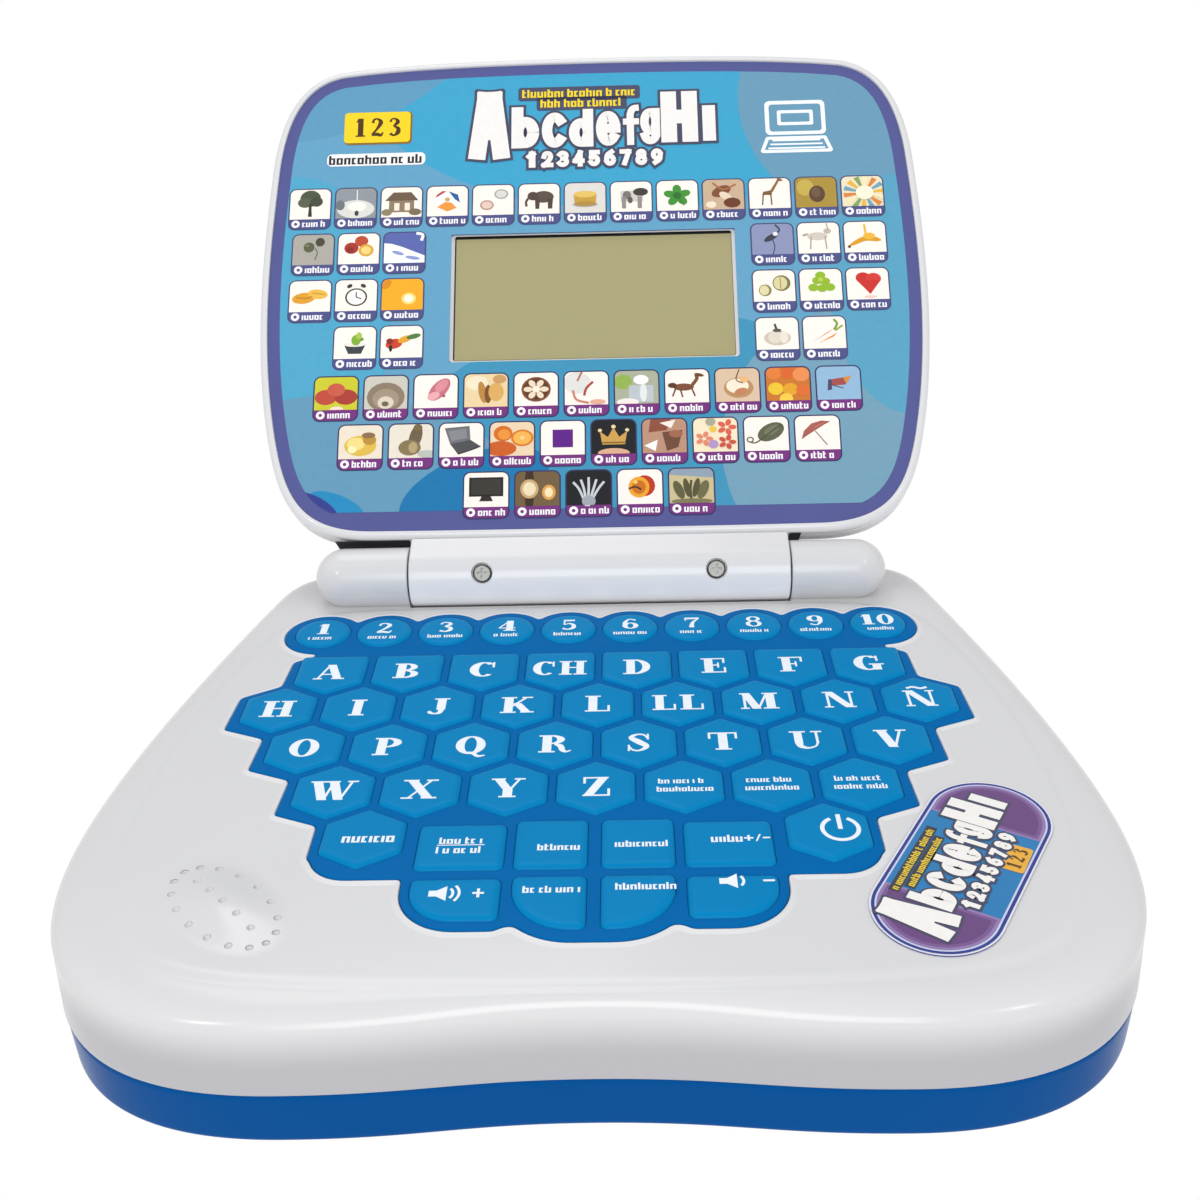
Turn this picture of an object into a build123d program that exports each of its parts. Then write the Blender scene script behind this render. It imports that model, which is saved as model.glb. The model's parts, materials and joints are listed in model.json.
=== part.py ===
"""Toy laptop computer: a wavy two-colour base with a honeycomb keypad and a hinged lid with a small screen.

Everything is drawn in millimetres in a design frame: X to the right, Y to the back, Z up from the floor,
with Y = 0 on the first row of letter keys. At the end every piece is moved together, so that the origin
is under the middle of the whole object with the lid open.
"""
import os
from math import cos, pi, radians, sin, sqrt

from build123d import *

# ---------------------------------------------------------------- driving dimensions
FOOT = 1.0            # height of the moulded feet
PARTING = 13.7        # height of the line between the blue bottom and the white top
WALL_TOP = 29.2       # height where the side wall starts to round over
DECK = 34.0           # height of the flat deck
PANEL_STEP = 0.5      # the inner panel of the deck stands this far above its border
SKIN = 2.2            # thickness of the moulded walls
BACK = 64.0           # rear edge of the base

PITCH = 20.0          # distance between neighbouring honeycomb keys
ROW = 17.6            # distance between neighbouring rows of them
FIRST_ROW_Y = -1.3
FLAT_BACK = 8.2       # the first row is cut off flat this far behind the middle of its keys
KEY_APOTHEM = 8.9     # half the width of a honeycomb key
CELL_APOTHEM = 11.3   # half the width of a key's cell in the keypad's outline
SPUR_OUT, SPUR_FRONT = 0.7, 1.6  # how far the outer front corners of the rows stick out
SCALLOP_X, SCALLOP_Y, SCALLOP_RADIUS = 16.6, -104.3, 4.2  # waves in the keypad's front edge
KEY_GAP = 0.3         # clearance between a key and the keypad around it
KEY_RISE = 0.8        # height of a key above the keypad
KEY_TRAVEL = 1.0
KEY_EDGE = 0.5        # rounding of a key's top edge
SHEET_RISE = 0.5      # height of the keypad above the deck
SHEET_FLANGE = 1.0    # thickness of the keypad's flange under the deck
FLANGE_WIDTH = 1.6
KEY_FLANGE = 0.8      # thickness of the lip that keeps a key in
KEY_LIP = 0.7         # how far that lip reaches past the key's outline
STEM_RADIUS = 2.5
NUMBER_RADIUS = 7.5
NUMBER_PITCH = 16.9
NUMBER_Y = 20.0

BOARD_TOP = 25.6
BOARD_THICKNESS = 1.6
CHIP_SPOTS = (-20, 0) # middles of the two square chips under the board

HINGE_Y = 43.0
HINGE_Z = DECK + 6.0
BARREL_RADIUS = 8.5
BARREL_HALF = 53.8    # half length of the lid's barrel
BARREL_GAP = 0.5      # gap between the lid's barrel and the base's barrels
BARREL_END = 81.5     # outer end of the base's barrels
TROUGH_RADIUS = 9.3
PIN_RADIUS = 2.0
PIN_CLEARANCE = 0.05
PIN_INNER, PIN_OUTER = 42.0, 66.0
OPEN_TILT = 44.26     # the open lid leans this far back from upright
SCREW_RISE = 32.0     # the barrel's screws point this far above level when the lid is open

LABEL_PLANE = 3.9     # distance of the lid's face from the hinge axis
LIP = 0.7             # the bezel's rim stands this far above the lid's label
BEZEL = 2.4           # width of the white bezel
BEZEL_ROUNDING = 2.0
LID_X = -1.0          # the lid sits slightly left of its hinge's middle
LABEL_THICKNESS = 0.35
LID_BACK = 7.5        # distance of the lid's rear face behind the hinge axis
LID_SKIN = 2.0
NECK_TOP = 12.0       # the neck between barrel and lid reaches this far up the lid
SCREEN_WIDTH, SCREEN_HEIGHT = 84.4, 41.7
SCREEN_X = -0.8       # the screen sits slightly left of the middle
SCREEN_V = 87.5       # height of the screen's middle up the lid
SCREEN_BORDER = 1.2   # bevelled border between the screen and the label
SCREEN_SINK = 1.3     # depth of the screen below the lid's face

SPEAKER_X, SPEAKER_Y, SPEAKER_TURN = -75.7, -92.7, -45.0
BADGE_X, BADGE_Y, BADGE_ANGLE = 77.3, -82.0, 60.0
BADGE_LENGTH, BADGE_WIDTH, BADGE_THICKNESS = 61.0, 27.0, 0.3

BATTERY_RADIUS, BATTERY_LENGTH, BATTERY_PITCH = 7.1, 49.2, 14.8
BAY_LENGTH, BAY_WIDTH, BAY_TOP = 62.0, 47.0, 19.0
BAY_WALL = 2.0
BAY_Y = -25.0
DOOR_LEDGE = 2.0
DOOR_THICKNESS = 2.0
DOOR_GAP = 0.3
SCREW_SHAFT, SCREW_HEAD, SCREW_HEAD_HEIGHT = 1.3, 2.65, 1.8
SCREW_SEAT, CASE_SCREW_LENGTH = 4.0, 18.0
CASE_SCREWS = [(-82, 50), (82, 50), (-101, -30), (101, -30), (-50, -108), (50, -108)]

# ---------------------------------------------------------------- outlines
# Right halves, from the middle of the front to the middle of the back, as cubic Bezier curves.
WALL_OUTLINE = [
    [(0, -120.7), (27, -120.7), (34, -124.1), (61.3, -124.1)],
    [(61.3, -124.1), (103, -124.1), (115.7, -100.7), (115.7, -67.5)],
    [(115.7, -67.5), (115.7, -37.5), (104, 12), (95, 47)],
    [(95, 47), (92.5, 57), (90, BACK), (78, BACK)],
    [(78, BACK), (50, BACK), (25, BACK), (0, BACK)],
]
PANEL_OUTLINE = [
    [(0, -117.4), (25, -117.4), (45, -116.9), (60, -115.6)],
    [(60, -115.6), (93, -113.2), (104.5, -105), (104.5, -55)],
    [(104.5, -55), (104.5, -25), (99.5, 0), (92, 20)],
    [(92, 20), (88, 31), (78, 35.6), (60, 36)],
    [(60, 36), (40, 36), (20, 36), (0, 36)],
]
LID_OUTLINE = [
    [(0, 10.0), (25.3, 10.0), (45.5, 10.0), (64.7, 10.2)],
    [(64.7, 10.2), (86.9, 10.6), (92.5, 22), (96.6, 43)],
    [(96.6, 43), (101.9, 70), (101.7, 100), (99.4, 134.5)],
    [(99.4, 134.5), (97.6, 154.5), (91, 165.4), (78.9, 168)],
    [(78.9, 168), (60.7, 170.6), (30.3, 171.2), (0, 171.2)],
]


def blend(inner, outer, share):
    """Outline that lies between two others with the same number of curves."""
    return [
        [tuple(a + (b - a) * share for a, b in zip(p, q)) for p, q in zip(c, d)]
        for c, d in zip(inner, outer)
    ]


def inset(curves, distance):
    """Outline a distance inside another: its ends move inwards and its handles keep their directions."""
    leaving = [(Vector(*c[1]) - Vector(*c[0])).normalized() for c in curves] + [Vector(-1, 0)]
    arriving = [Vector(1, 0)] + [(Vector(*c[3]) - Vector(*c[2])).normalized() for c in curves]
    ahead = [(a + b).normalized() for a, b in zip(arriving, leaving)]
    ahead[0], ahead[-1] = Vector(1, 0), Vector(-1, 0)
    ends = [Vector(*p) for p in [curves[0][0]] + [c[3] for c in curves]]
    ends = [end + Vector(-way.Y, way.X) * distance for end, way in zip(ends, ahead)]
    moved = []
    for curve, start, stop in zip(curves, ends, ends[1:]):
        points = [Vector(*p) for p in curve]
        share = (stop - start).length / (points[3] - points[0]).length
        handles = start + (points[1] - points[0]) * share, stop + (points[2] - points[3]) * share
        moved.append([(p.X, p.Y) for p in (start, *handles, stop)])
    return moved


def outline_face(curves, z=0.0, scale_x=1.0):
    """Face inside a right-half outline and its mirror image."""
    right = [Bezier(*[(x * scale_x, y, z) for x, y in curve]) for curve in curves]
    left = [Bezier(*[(-x * scale_x, y, z) for x, y in reversed(curve)]) for curve in reversed(curves)]
    return make_face(Wire(right + left))


def prism(face, bottom, top):
    """Straight solid over a flat face drawn at z = 0."""
    return extrude(Pos(0, 0, bottom) * face, amount=top - bottom)


def rod(x, y, bottom, top, radius):
    """Upright cylinder between two heights."""
    return Pos(x, y, bottom) * extrude(Circle(radius), amount=top - bottom)


def cross_rod(x0, x1, y, z, radius):
    """Cylinder along X."""
    return Pos(x0, y, z) * Rot(0, 90, 0) * extrude(Circle(radius), amount=x1 - x0)


def block(x0, x1, y0, y1, z0, z1):
    """Box between two corners."""
    return Pos((x0 + x1) / 2, (y0 + y1) / 2, (z0 + z1) / 2) * Box(x1 - x0, y1 - y0, z1 - z0)


def hexagon(x, y, apothem):
    """Hexagon with a corner at the back, by its half width."""
    return Pos(x, y) * RegularPolygon(apothem, 6, major_radius=False, rotation=30)


def soft_fillet(solid, edges, radius):
    """Round the edges with the largest radius, from the wanted one down, that the solid takes."""
    for share in (1.0, 0.8, 0.6, 0.4):
        try:
            return fillet(edges, radius * share)
        except Exception:
            continue
    return solid


# ---------------------------------------------------------------- keys
LETTER_ROWS = [
    (["a", "b", "c", "ch", "d", "e", "f", "g"], FIRST_ROW_Y),
    (["h", "i", "j", "k", "l", "ll", "m", "n", "n_tilde"], FIRST_ROW_Y - ROW),
    (["o", "p", "q", "r", "s", "t", "u", "v"], FIRST_ROW_Y - 2 * ROW),
    (["w", "x", "y", "z", "word_test", "spelling_test", "missing_letter"], FIRST_ROW_Y - 3 * ROW),
]
HEX_KEYS = {
    "key_" + name: ((i - (len(names) - 1) / 2) * PITCH, y)
    for names, y in LETTER_ROWS
    for i, name in enumerate(names)
}
HEX_KEYS["key_demo"] = (-50.4, -71.6)
HEX_KEYS["key_power"] = (50.4, -71.6)
NUMBER_CENTRES = [((i - 4.5) * NUMBER_PITCH, NUMBER_Y) for i in range(10)]


def flat_backed(x, y):
    """Key of the first row: a hexagon whose sides run straight up to a flat back edge."""
    x0, x1, corner = x - KEY_APOTHEM, x + KEY_APOTHEM, KEY_APOTHEM / sqrt(3)
    points = [(x0, y + FLAT_BACK), (x0, y - corner), (x, y - 2 * corner),
              (x1, y - corner), (x1, y + FLAT_BACK)]
    return make_face(Polyline(*points, close=True))


def row_end(x, y, side):
    """Outer half of a row's last cell, drawn out to a point at its front corner."""
    outer, corner = x + side * CELL_APOTHEM, CELL_APOTHEM / sqrt(3)
    points = [(x, y + 2 * corner), (outer, y + corner),
              (outer + side * SPUR_OUT, y - corner - SPUR_FRONT), (x, y - 2 * corner)]
    return make_face(Polyline(*points[::-side], close=True))


def panel_key(x0, x1, y0, y1, radii):
    """Flat outline of a rectangular key; its radii are front left, front right and back."""
    front_left, front_right, back = radii
    face = Pos((x0 + x1) / 2, (y0 + y1) / 2) * Rectangle(abs(x1 - x0), abs(y1 - y0))
    corners = face.vertices()
    by_place = {(v.X > (x0 + x1) / 2, v.Y > (y0 + y1) / 2): v for v in corners}
    face = fillet([by_place[(False, True)], by_place[(True, True)]], back)
    for right, radius in ((False, front_left), (True, front_right)):
        x = x1 if right else x0
        corner = [v for v in face.vertices() if abs(v.X - x) < 0.01 and abs(v.Y - y0) < 0.01]
        face = fillet(corner, radius)
    return face


def key_outlines():
    """Flat outline of every separate key by node name."""
    outlines = {
        name: fillet(hexagon(x, y, KEY_APOTHEM).vertices(), 1.6)
        for name, (x, y) in HEX_KEYS.items()
    }
    for letter in LETTER_ROWS[0][0]:
        face = flat_backed(*HEX_KEYS["key_" + letter])
        outlines["key_" + letter] = fillet(face.vertices(), 1.6)
    outlines["key_language"] = panel_key(-38.2, -19.2, -82.9, -67.6, (1.6, 1.6, 1.6))
    outlines["key_letters"] = panel_key(-17.1, -1.5, -82.9, -66.4, (1.6, 1.6, 1.6))
    outlines["key_volume_up"] = panel_key(-38.0, -19.2, -98.8, -86.0, (9.5, 1.6, 1.6))
    outlines["key_spelling"] = panel_key(-16.9, -1.5, -101.6, -85.4, (12.6, 1.5, 1.5))
    mirrored = {"key_ask": "key_language", "key_words": "key_letters",
                "key_volume_down": "key_volume_up", "key_quiz": "key_spelling"}
    for name, twin in mirrored.items():
        outlines[name] = mirror(outlines[twin], Plane.YZ)
    return outlines


def pad_outline():
    """Outline of the whole keypad: the cells of all keys together."""
    face = Pos(0, 11) * Rectangle(2 * 76, 22)
    for x, y in NUMBER_CENTRES:
        face += Pos(x, y) * Circle(10.6)
    for x, y in HEX_KEYS.values():
        face += hexagon(x, y, CELL_APOTHEM)
    for names, y in LETTER_ROWS:
        for side in (-1, 1):
            face += row_end(side * (len(names) - 1) / 2 * PITCH, y, side)
    middle = Pos(0, -72.6) * Rectangle(122.4, 25.2)
    middle = fillet(middle.vertices().sort_by(Axis.Y)[:2], 9.0)
    volume = Pos(0, -91.0) * Rectangle(80.6, 21.0)
    volume = fillet(volume.vertices().sort_by(Axis.Y)[:2], 12.5)
    for x in (-SCALLOP_X, SCALLOP_X):
        volume -= Pos(x, SCALLOP_Y) * Circle(SCALLOP_RADIUS)
    tongue = Pos(0, -95.0) * Rectangle(40.6, 20.0)
    tongue = fillet(tongue.vertices().sort_by(Axis.Y)[:2], 16.0)
    face += middle + volume + tongue + Pos(0, -60) * Rectangle(112, 40)
    return face.faces()[0]


def key_solid(outline, x, y, edge=KEY_EDGE):
    """Cap with a rounded top, a lip under the keypad that keeps it in, and a stem above the board."""
    top = DECK + SHEET_RISE + KEY_RISE
    lip_top = DECK - SKIN - SHEET_FLANGE - KEY_GAP
    cap = prism(outline, lip_top, top)
    cap = soft_fillet(cap, cap.edges().group_by(Axis.Z)[-1], edge)
    lip = prism(offset(outline, KEY_LIP), lip_top - KEY_FLANGE, lip_top)
    stem = rod(x, y, BOARD_TOP + KEY_TRAVEL + 0.2, lip_top - KEY_FLANGE, STEM_RADIUS)
    return cap + lip + stem


# ---------------------------------------------------------------- base
def speaker_dome():
    """Low oval dome on the deck over the speaker."""
    dome = scale(Sphere(1.0), by=(16.8, 9.4, 1.9))
    dome = Pos(SPEAKER_X, SPEAKER_Y, DECK - 0.1) * Rot(0, 0, SPEAKER_TURN) * dome
    return dome & block(SPEAKER_X - 20, SPEAKER_X + 20, SPEAKER_Y - 20, SPEAKER_Y + 20, DECK - 1, DECK + 5)


def speaker_holes():
    """Oval ring of small holes and a slanting row of five between them."""
    spots = [(15.8 * cos(2 * pi * k / 16), 8.0 * sin(2 * pi * k / 16)) for k in range(16)]
    spots += [(5.2 * k, 0.0) for k in range(-2, 3)]
    turn = radians(SPEAKER_TURN)
    holes = []
    for a, b in spots:
        x = SPEAKER_X + a * cos(turn) - b * sin(turn)
        y = SPEAKER_Y + a * sin(turn) + b * cos(turn)
        holes.append(rod(x, y, DECK - SKIN - 0.5, DECK + 4, 0.85))
    return holes


def base_top_shell(pad):
    border = DECK - PANEL_STEP
    sections = [outline_face(WALL_OUTLINE, PARTING, 1.008), outline_face(WALL_OUTLINE, WALL_TOP)]
    body = loft(sections, ruled=True)
    rounds = []
    steps = 5
    for k in range(steps + 1):
        angle = radians(90 * k / steps)
        curves = blend(PANEL_OUTLINE, WALL_OUTLINE, cos(angle))
        rounds.append(outline_face(curves, WALL_TOP + (border - WALL_TOP) * sin(angle)))
    body += loft(rounds, ruled=True)
    body += prism(outline_face(PANEL_OUTLINE), border - 1.0, DECK)
    body -= prism(outline_face(inset(WALL_OUTLINE, SKIN + 0.4)), PARTING - 1, WALL_TOP - 3)
    body -= prism(outline_face(inset(PANEL_OUTLINE, SKIN)), WALL_TOP - 4, DECK - SKIN)
    for side in (-1, 1):
        x0, x1 = sorted((side * (BARREL_HALF + BARREL_GAP), side * (BARREL_END - BARREL_RADIUS)))
        body += cross_rod(x0, x1, HINGE_Y, HINGE_Z, BARREL_RADIUS)
        body += Pos(side * (BARREL_END - BARREL_RADIUS), HINGE_Y, HINGE_Z) * Sphere(BARREL_RADIUS)
    body += speaker_dome()
    body -= cross_rod(-BARREL_HALF - BARREL_GAP, BARREL_HALF + BARREL_GAP, HINGE_Y, HINGE_Z, TROUGH_RADIUS)
    for side in (-1, 1):
        x0, x1 = sorted((side * (BARREL_HALF + BARREL_GAP - 1), side * PIN_OUTER))
        body -= cross_rod(x0, x1, HINGE_Y, HINGE_Z, PIN_RADIUS)
    body -= prism(pad, DECK - SKIN - 1, DECK + 1)
    room = offset(pad, FLANGE_WIDTH + KEY_GAP)
    body -= prism(room, DECK - SKIN - SHEET_FLANGE - KEY_GAP, DECK - SKIN)
    for hole in speaker_holes():
        body -= hole
    for x, y in CASE_SCREWS:
        post = rod(x, y, PARTING + 0.2, DECK - 2.0, 3.4)
        body += post - rod(x, y, PARTING, WALL_TOP - 5, SCREW_SHAFT)
        body -= rod(x, y, PARTING - 1, WALL_TOP - 5, SCREW_SHAFT)
    return body


def base_bottom_shell():
    floor, rim = outline_face(WALL_OUTLINE, FOOT, 1.004), outline_face(WALL_OUTLINE, PARTING, 1.008)
    tub = loft([floor, rim], ruled=True)
    tub = soft_fillet(tub, tub.edges().group_by(Axis.Z)[0], 1.6)
    tub -= prism(outline_face(inset(WALL_OUTLINE, SKIN)), FOOT + 2.4, PARTING + 1)
    half_length, front, back = BAY_LENGTH / 2, BAY_Y - BAY_WIDTH / 2, BAY_Y + BAY_WIDTH / 2
    x, top = half_length + BAY_WALL, BAY_TOP + 1.6
    bay = block(-x, x, front - BAY_WALL, back + BAY_WALL, FOOT + 1, top)
    boss = block(-7, 7, back, back + 11, FOOT + 1, 12)
    body = tub + bay + boss
    body -= prism(door_outline(), FOOT - 1, FOOT + DOOR_THICKNESS)
    body -= block(-half_length, half_length, front, back, FOOT, BAY_TOP)
    body -= rod(0, door_screw_y(), FOOT, 11, SCREW_SHAFT + 0.05)
    for x, y in CASE_SCREWS:
        body += rod(x, y, FOOT + 1, PARTING, 3.4)
    for x, y in CASE_SCREWS:
        body -= rod(x, y, FOOT - 1, PARTING + 1, SCREW_SHAFT + 0.2)
        body -= rod(x, y, FOOT - 1, FOOT + SCREW_SEAT, SCREW_HEAD + 0.3)
    for x in (-78, 78):
        for y in (-96, 46):
            body += rod(x, y, 0, FOOT + 0.5, 6.0)
    return body


def door_outline():
    """Opening for the battery door: the bay with a ledge all round and a tab for the screw."""
    face = Pos(0, BAY_Y) * Rectangle(BAY_LENGTH + 2 * DOOR_LEDGE - 1, BAY_WIDTH + 2 * DOOR_LEDGE - 1)
    face += Pos(0, door_screw_y() - 2) * Rectangle(12, 12)
    return face


def door_screw_y():
    return BAY_Y + BAY_WIDTH / 2 + 6


def battery_door():
    door = prism(offset(door_outline(), -DOOR_GAP), FOOT, FOOT + DOOR_THICKNESS - 0.1)
    door -= rod(0, door_screw_y(), FOOT - 1, FOOT + 5, SCREW_SHAFT + 0.2)
    door -= rod(0, door_screw_y(), FOOT - 1, FOOT + 1.0, SCREW_HEAD + 0.2)
    for k in range(5):
        y = BAY_Y - 16 + 4 * k
        door -= block(-14, 14, y, y + 1.6, FOOT - 1, FOOT + 0.6)
    return door


def screw(length, head_height):
    """Pan head screw with a cross recess, head outwards along +Z from its seat at z = 0."""
    body = Pos(0, 0, -length) * extrude(Circle(SCREW_SHAFT), amount=length)
    body += extrude(Circle(SCREW_HEAD), amount=head_height)
    body = soft_fillet(body, body.edges().group_by(Axis.Z)[-1], head_height * 0.4)
    for turn in (0, 90):
        body -= Pos(0, 0, head_height - 0.4) * Rot(0, 0, turn) * Box(2.8, 0.7, 1.0)
    return body


def battery_cells():
    cells = []
    for k in (-1, 0, 1):
        y = BAY_Y + k * BATTERY_PITCH
        z = FOOT + DOOR_THICKNESS + 0.3 + BATTERY_RADIUS
        side = 1 if k == 0 else -1
        can = cross_rod(-BATTERY_LENGTH / 2, BATTERY_LENGTH / 2, y, z, BATTERY_RADIUS)
        can = soft_fillet(can, can.edges(), 0.8)
        tip = sorted((side * (BATTERY_LENGTH / 2 - 0.5), side * (BATTERY_LENGTH / 2 + 1.3)))
        cells.append(can + cross_rod(tip[0], tip[1], y, z, 2.7))
    return cells


def battery_contacts():
    """A flat plate at each plus end and a plate with a spring cone at each minus end."""
    pieces = []
    for k in (-1, 0, 1):
        y = BAY_Y + k * BATTERY_PITCH
        z = FOOT + DOOR_THICKNESS + 0.3 + BATTERY_RADIUS
        side = 1 if k == 0 else -1
        plus, minus = side * BAY_LENGTH / 2, -side * BAY_LENGTH / 2
        tip = side * (BATTERY_LENGTH / 2 + 1.3)
        x0, x1 = sorted((plus, plus - side * 0.5))
        plate = block(x0, x1, y - 5, y + 5, z - 5, z + 5)
        x0, x1 = sorted((tip + side * 0.02, plus - side * 0.5))
        pieces.append(plate + cross_rod(x0, x1, y, z, 2.0))
        x0, x1 = sorted((minus, minus + side * 0.5))
        plate = block(x0, x1, y - 5, y + 5, z - 5, z + 5)
        x0, x1 = sorted((minus + side * 0.5, -side * (BATTERY_LENGTH / 2 + 0.02)))
        spring = cross_rod(x0, x1, y, z, 3.0) - cross_rod(x0 - 1, x1 + 1, y, z, 2.2)
        pieces.append(plate + spring)
    return pieces


def main_board():
    board = block(-84, 84, -58, 26, BOARD_TOP - BOARD_THICKNESS, BOARD_TOP)
    board += block(-44, 44, -99, -58, BOARD_TOP - BOARD_THICKNESS, BOARD_TOP)
    for x in CHIP_SPOTS:
        board += block(x - 6, x + 6, 10, 22, BOARD_TOP - BOARD_THICKNESS - 2, BOARD_TOP - BOARD_THICKNESS)
    return board


def speaker():
    z = DECK - SKIN - 7.0
    body = rod(SPEAKER_X, SPEAKER_Y, z, z + 4.5, 14.0) + rod(SPEAKER_X, SPEAKER_Y, z - 4, z, 7.5)
    return body - rod(SPEAKER_X, SPEAKER_Y, z + 3.5, z + 5, 11.5)


# ---------------------------------------------------------------- lid, drawn flat on its hinge axis
# In the lid's own frame X is to the right, Y runs up the lid from the hinge axis
# and Z comes out of its face.
LID_FACE = LABEL_PLANE - LABEL_THICKNESS
SCREEN_TOP = LABEL_PLANE - SCREEN_SINK


def screen_rectangle(grow, radius=0.8):
    width, height = SCREEN_WIDTH + 2 * grow, SCREEN_HEIGHT + 2 * grow
    return Pos(SCREEN_X, SCREEN_V) * RectangleRounded(width, height, radius)


def lid_face(distance):
    """The lid's outline, this far inside its edge."""
    outline = inset(LID_OUTLINE, distance) if distance else LID_OUTLINE
    return Pos(LID_X, 0) * outline_face(outline)


def lid_front_shell():
    body = prism(lid_face(0), 0, LABEL_PLANE + LIP)
    body = soft_fillet(body, body.edges().group_by(Axis.Z)[-1], BEZEL_ROUNDING)
    body -= prism(lid_face(BEZEL), LID_FACE, LABEL_PLANE + LIP + 1)
    body -= prism(lid_face(BEZEL), -1, LID_FACE - LID_SKIN)
    window = extrude(Pos(0, 0, SCREEN_TOP - 1.5) * screen_rectangle(0.15), amount=10)
    low, high = screen_rectangle(0.2), screen_rectangle(1.1)
    bevel = loft([Pos(0, 0, SCREEN_TOP) * low, Pos(0, 0, LID_FACE + 0.01) * high])
    body -= window
    body -= bevel
    return body - lid_neck()


def lid_neck():
    """Space of the neck and barrel that join the lid to its hinge."""
    neck = block(-BARREL_HALF, BARREL_HALF, 0, NECK_TOP, 0.5 - LID_BACK, LID_FACE - LID_SKIN - 0.3)
    return neck + cross_rod(-BARREL_HALF, BARREL_HALF, 0, 0, BARREL_RADIUS)


def hinge_screw_spots():
    """Where the two screws sit on the front of the lid's barrel."""
    return [Pos(x, 0, 0) * Rot(OPEN_TILT - SCREW_RISE, 0, 0) for x in (-33, 33)]


def lid_rear_shell():
    body = extrude(lid_face(0), amount=-LID_BACK)
    body = soft_fillet(body, body.edges().group_by(Axis.Z)[0], 5.0)
    body -= prism(lid_face(BEZEL), -LID_BACK + LID_SKIN, 1)
    body += lid_neck()
    for side in (-1, 1):
        x0, x1 = sorted((side * PIN_INNER, side * (BARREL_HALF + 1)))
        body -= cross_rod(x0, x1, 0, 0, PIN_RADIUS + PIN_CLEARANCE)
    for spot in hinge_screw_spots():
        body -= spot * rod(0, 0, -5, 8, SCREW_SHAFT)
        body -= spot * rod(0, 0, BARREL_RADIUS - 2.0, BARREL_RADIUS + 1, SCREW_HEAD + 0.4)
    return body


def hinge_screws():
    return [spot * Pos(0, 0, BARREL_RADIUS - 2.0) * screw(9.0, 1.5) for spot in hinge_screw_spots()]


def lid_label():
    sheet = prism(lid_face(BEZEL + 0.1), LID_FACE, LABEL_PLANE)
    return sheet - prism(screen_rectangle(SCREEN_BORDER, 1.2), LID_FACE - 1, LABEL_PLANE + 1)


def lcd_module():
    frame_top = LID_FACE - LID_SKIN - 0.05
    glass = extrude(Pos(0, 0, frame_top) * screen_rectangle(0.0), amount=SCREEN_TOP - frame_top)
    return glass + extrude(Pos(0, 0, frame_top) * screen_rectangle(5.0), amount=-3.5)


# ---------------------------------------------------------------- assembly
def build():
    pad = pad_outline()
    outlines = key_outlines()

    sheet = prism(pad, DECK - SKIN, DECK + SHEET_RISE)
    sheet += prism(offset(pad, FLANGE_WIDTH), DECK - SKIN - SHEET_FLANGE, DECK - SKIN)
    for outline in outlines.values():
        sheet -= prism(offset(outline, KEY_GAP), DECK - 6, DECK + 2)
    for x, y in NUMBER_CENTRES:
        sheet -= rod(x, y, DECK - 6, DECK + 2, NUMBER_RADIUS + KEY_GAP)

    nodes = {
        "base_top_shell": base_top_shell(pad),
        "base_bottom_shell": base_bottom_shell(),
        "keypad_sheet": sheet,
        "badge_label": Pos(BADGE_X, BADGE_Y, DECK) * Rot(0, 0, BADGE_ANGLE)
        * extrude(SlotOverall(BADGE_LENGTH, BADGE_WIDTH), amount=BADGE_THICKNESS),
        "main_board": main_board(),
        "speaker": speaker(),
        "battery_cells": battery_cells(),
        "battery_contacts": battery_contacts(),
        "battery_door": battery_door(),
        "battery_door_screw": Pos(0, door_screw_y(), FOOT + 1.0) * Rot(180, 0, 0) * screw(8.0, 0.9),
        "case_screws": [
            Pos(x, y, FOOT + SCREW_SEAT) * Rot(180, 0, 0) * screw(CASE_SCREW_LENGTH, SCREW_HEAD_HEIGHT)
            for x, y in CASE_SCREWS
        ],
        "hinge_pins": [
            cross_rod(x0, x1, HINGE_Y, HINGE_Z, PIN_RADIUS)
            for x0, x1 in ((-PIN_OUTER, -PIN_INNER), (PIN_INNER, PIN_OUTER))
        ],
    }
    opened = Pos(0, HINGE_Y, HINGE_Z) * Rot(90 - OPEN_TILT, 0, 0)
    lid = {
        "lid_front_shell": lid_front_shell(),
        "lid_rear_shell": lid_rear_shell(),
        "lid_label": lid_label(),
        "lcd_module": lcd_module(),
        "hinge_screws": hinge_screws(),
    }
    for name, piece in lid.items():
        nodes[name] = [opened * solid for solid in piece] if isinstance(piece, list) else opened * piece

    nodes["number_keys"] = [key_solid(Pos(x, y) * Circle(NUMBER_RADIUS), x, y) for x, y in NUMBER_CENTRES]
    for name, outline in outlines.items():
        centre = outline.bounding_box().center()
        nodes[name] = key_solid(outline, centre.X, centre.Y)
    return nodes


def write(nodes):
    """Put the origin under the middle of the whole object, and write one file for each node."""
    os.makedirs("parts", exist_ok=True)
    solids = {
        name: Compound(children=list(piece) if isinstance(piece, list) else [piece])
        for name, piece in nodes.items()
    }
    boxes = [solid.bounding_box() for solid in solids.values()]
    y0, y1 = min(b.min.Y for b in boxes), max(b.max.Y for b in boxes)
    shift = Pos(0, -(y0 + y1) / 2, -min(b.min.Z for b in boxes))
    for name, solid in solids.items():
        export_step(shift * solid, f"parts/{name}.step")
    print("shift", shift.position, "hinge axis", shift.position + Vector(0, HINGE_Y, HINGE_Z))
    print("size", 2 * max(b.max.X for b in boxes), y1 - y0, max(b.max.Z for b in boxes))


write(build())
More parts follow.
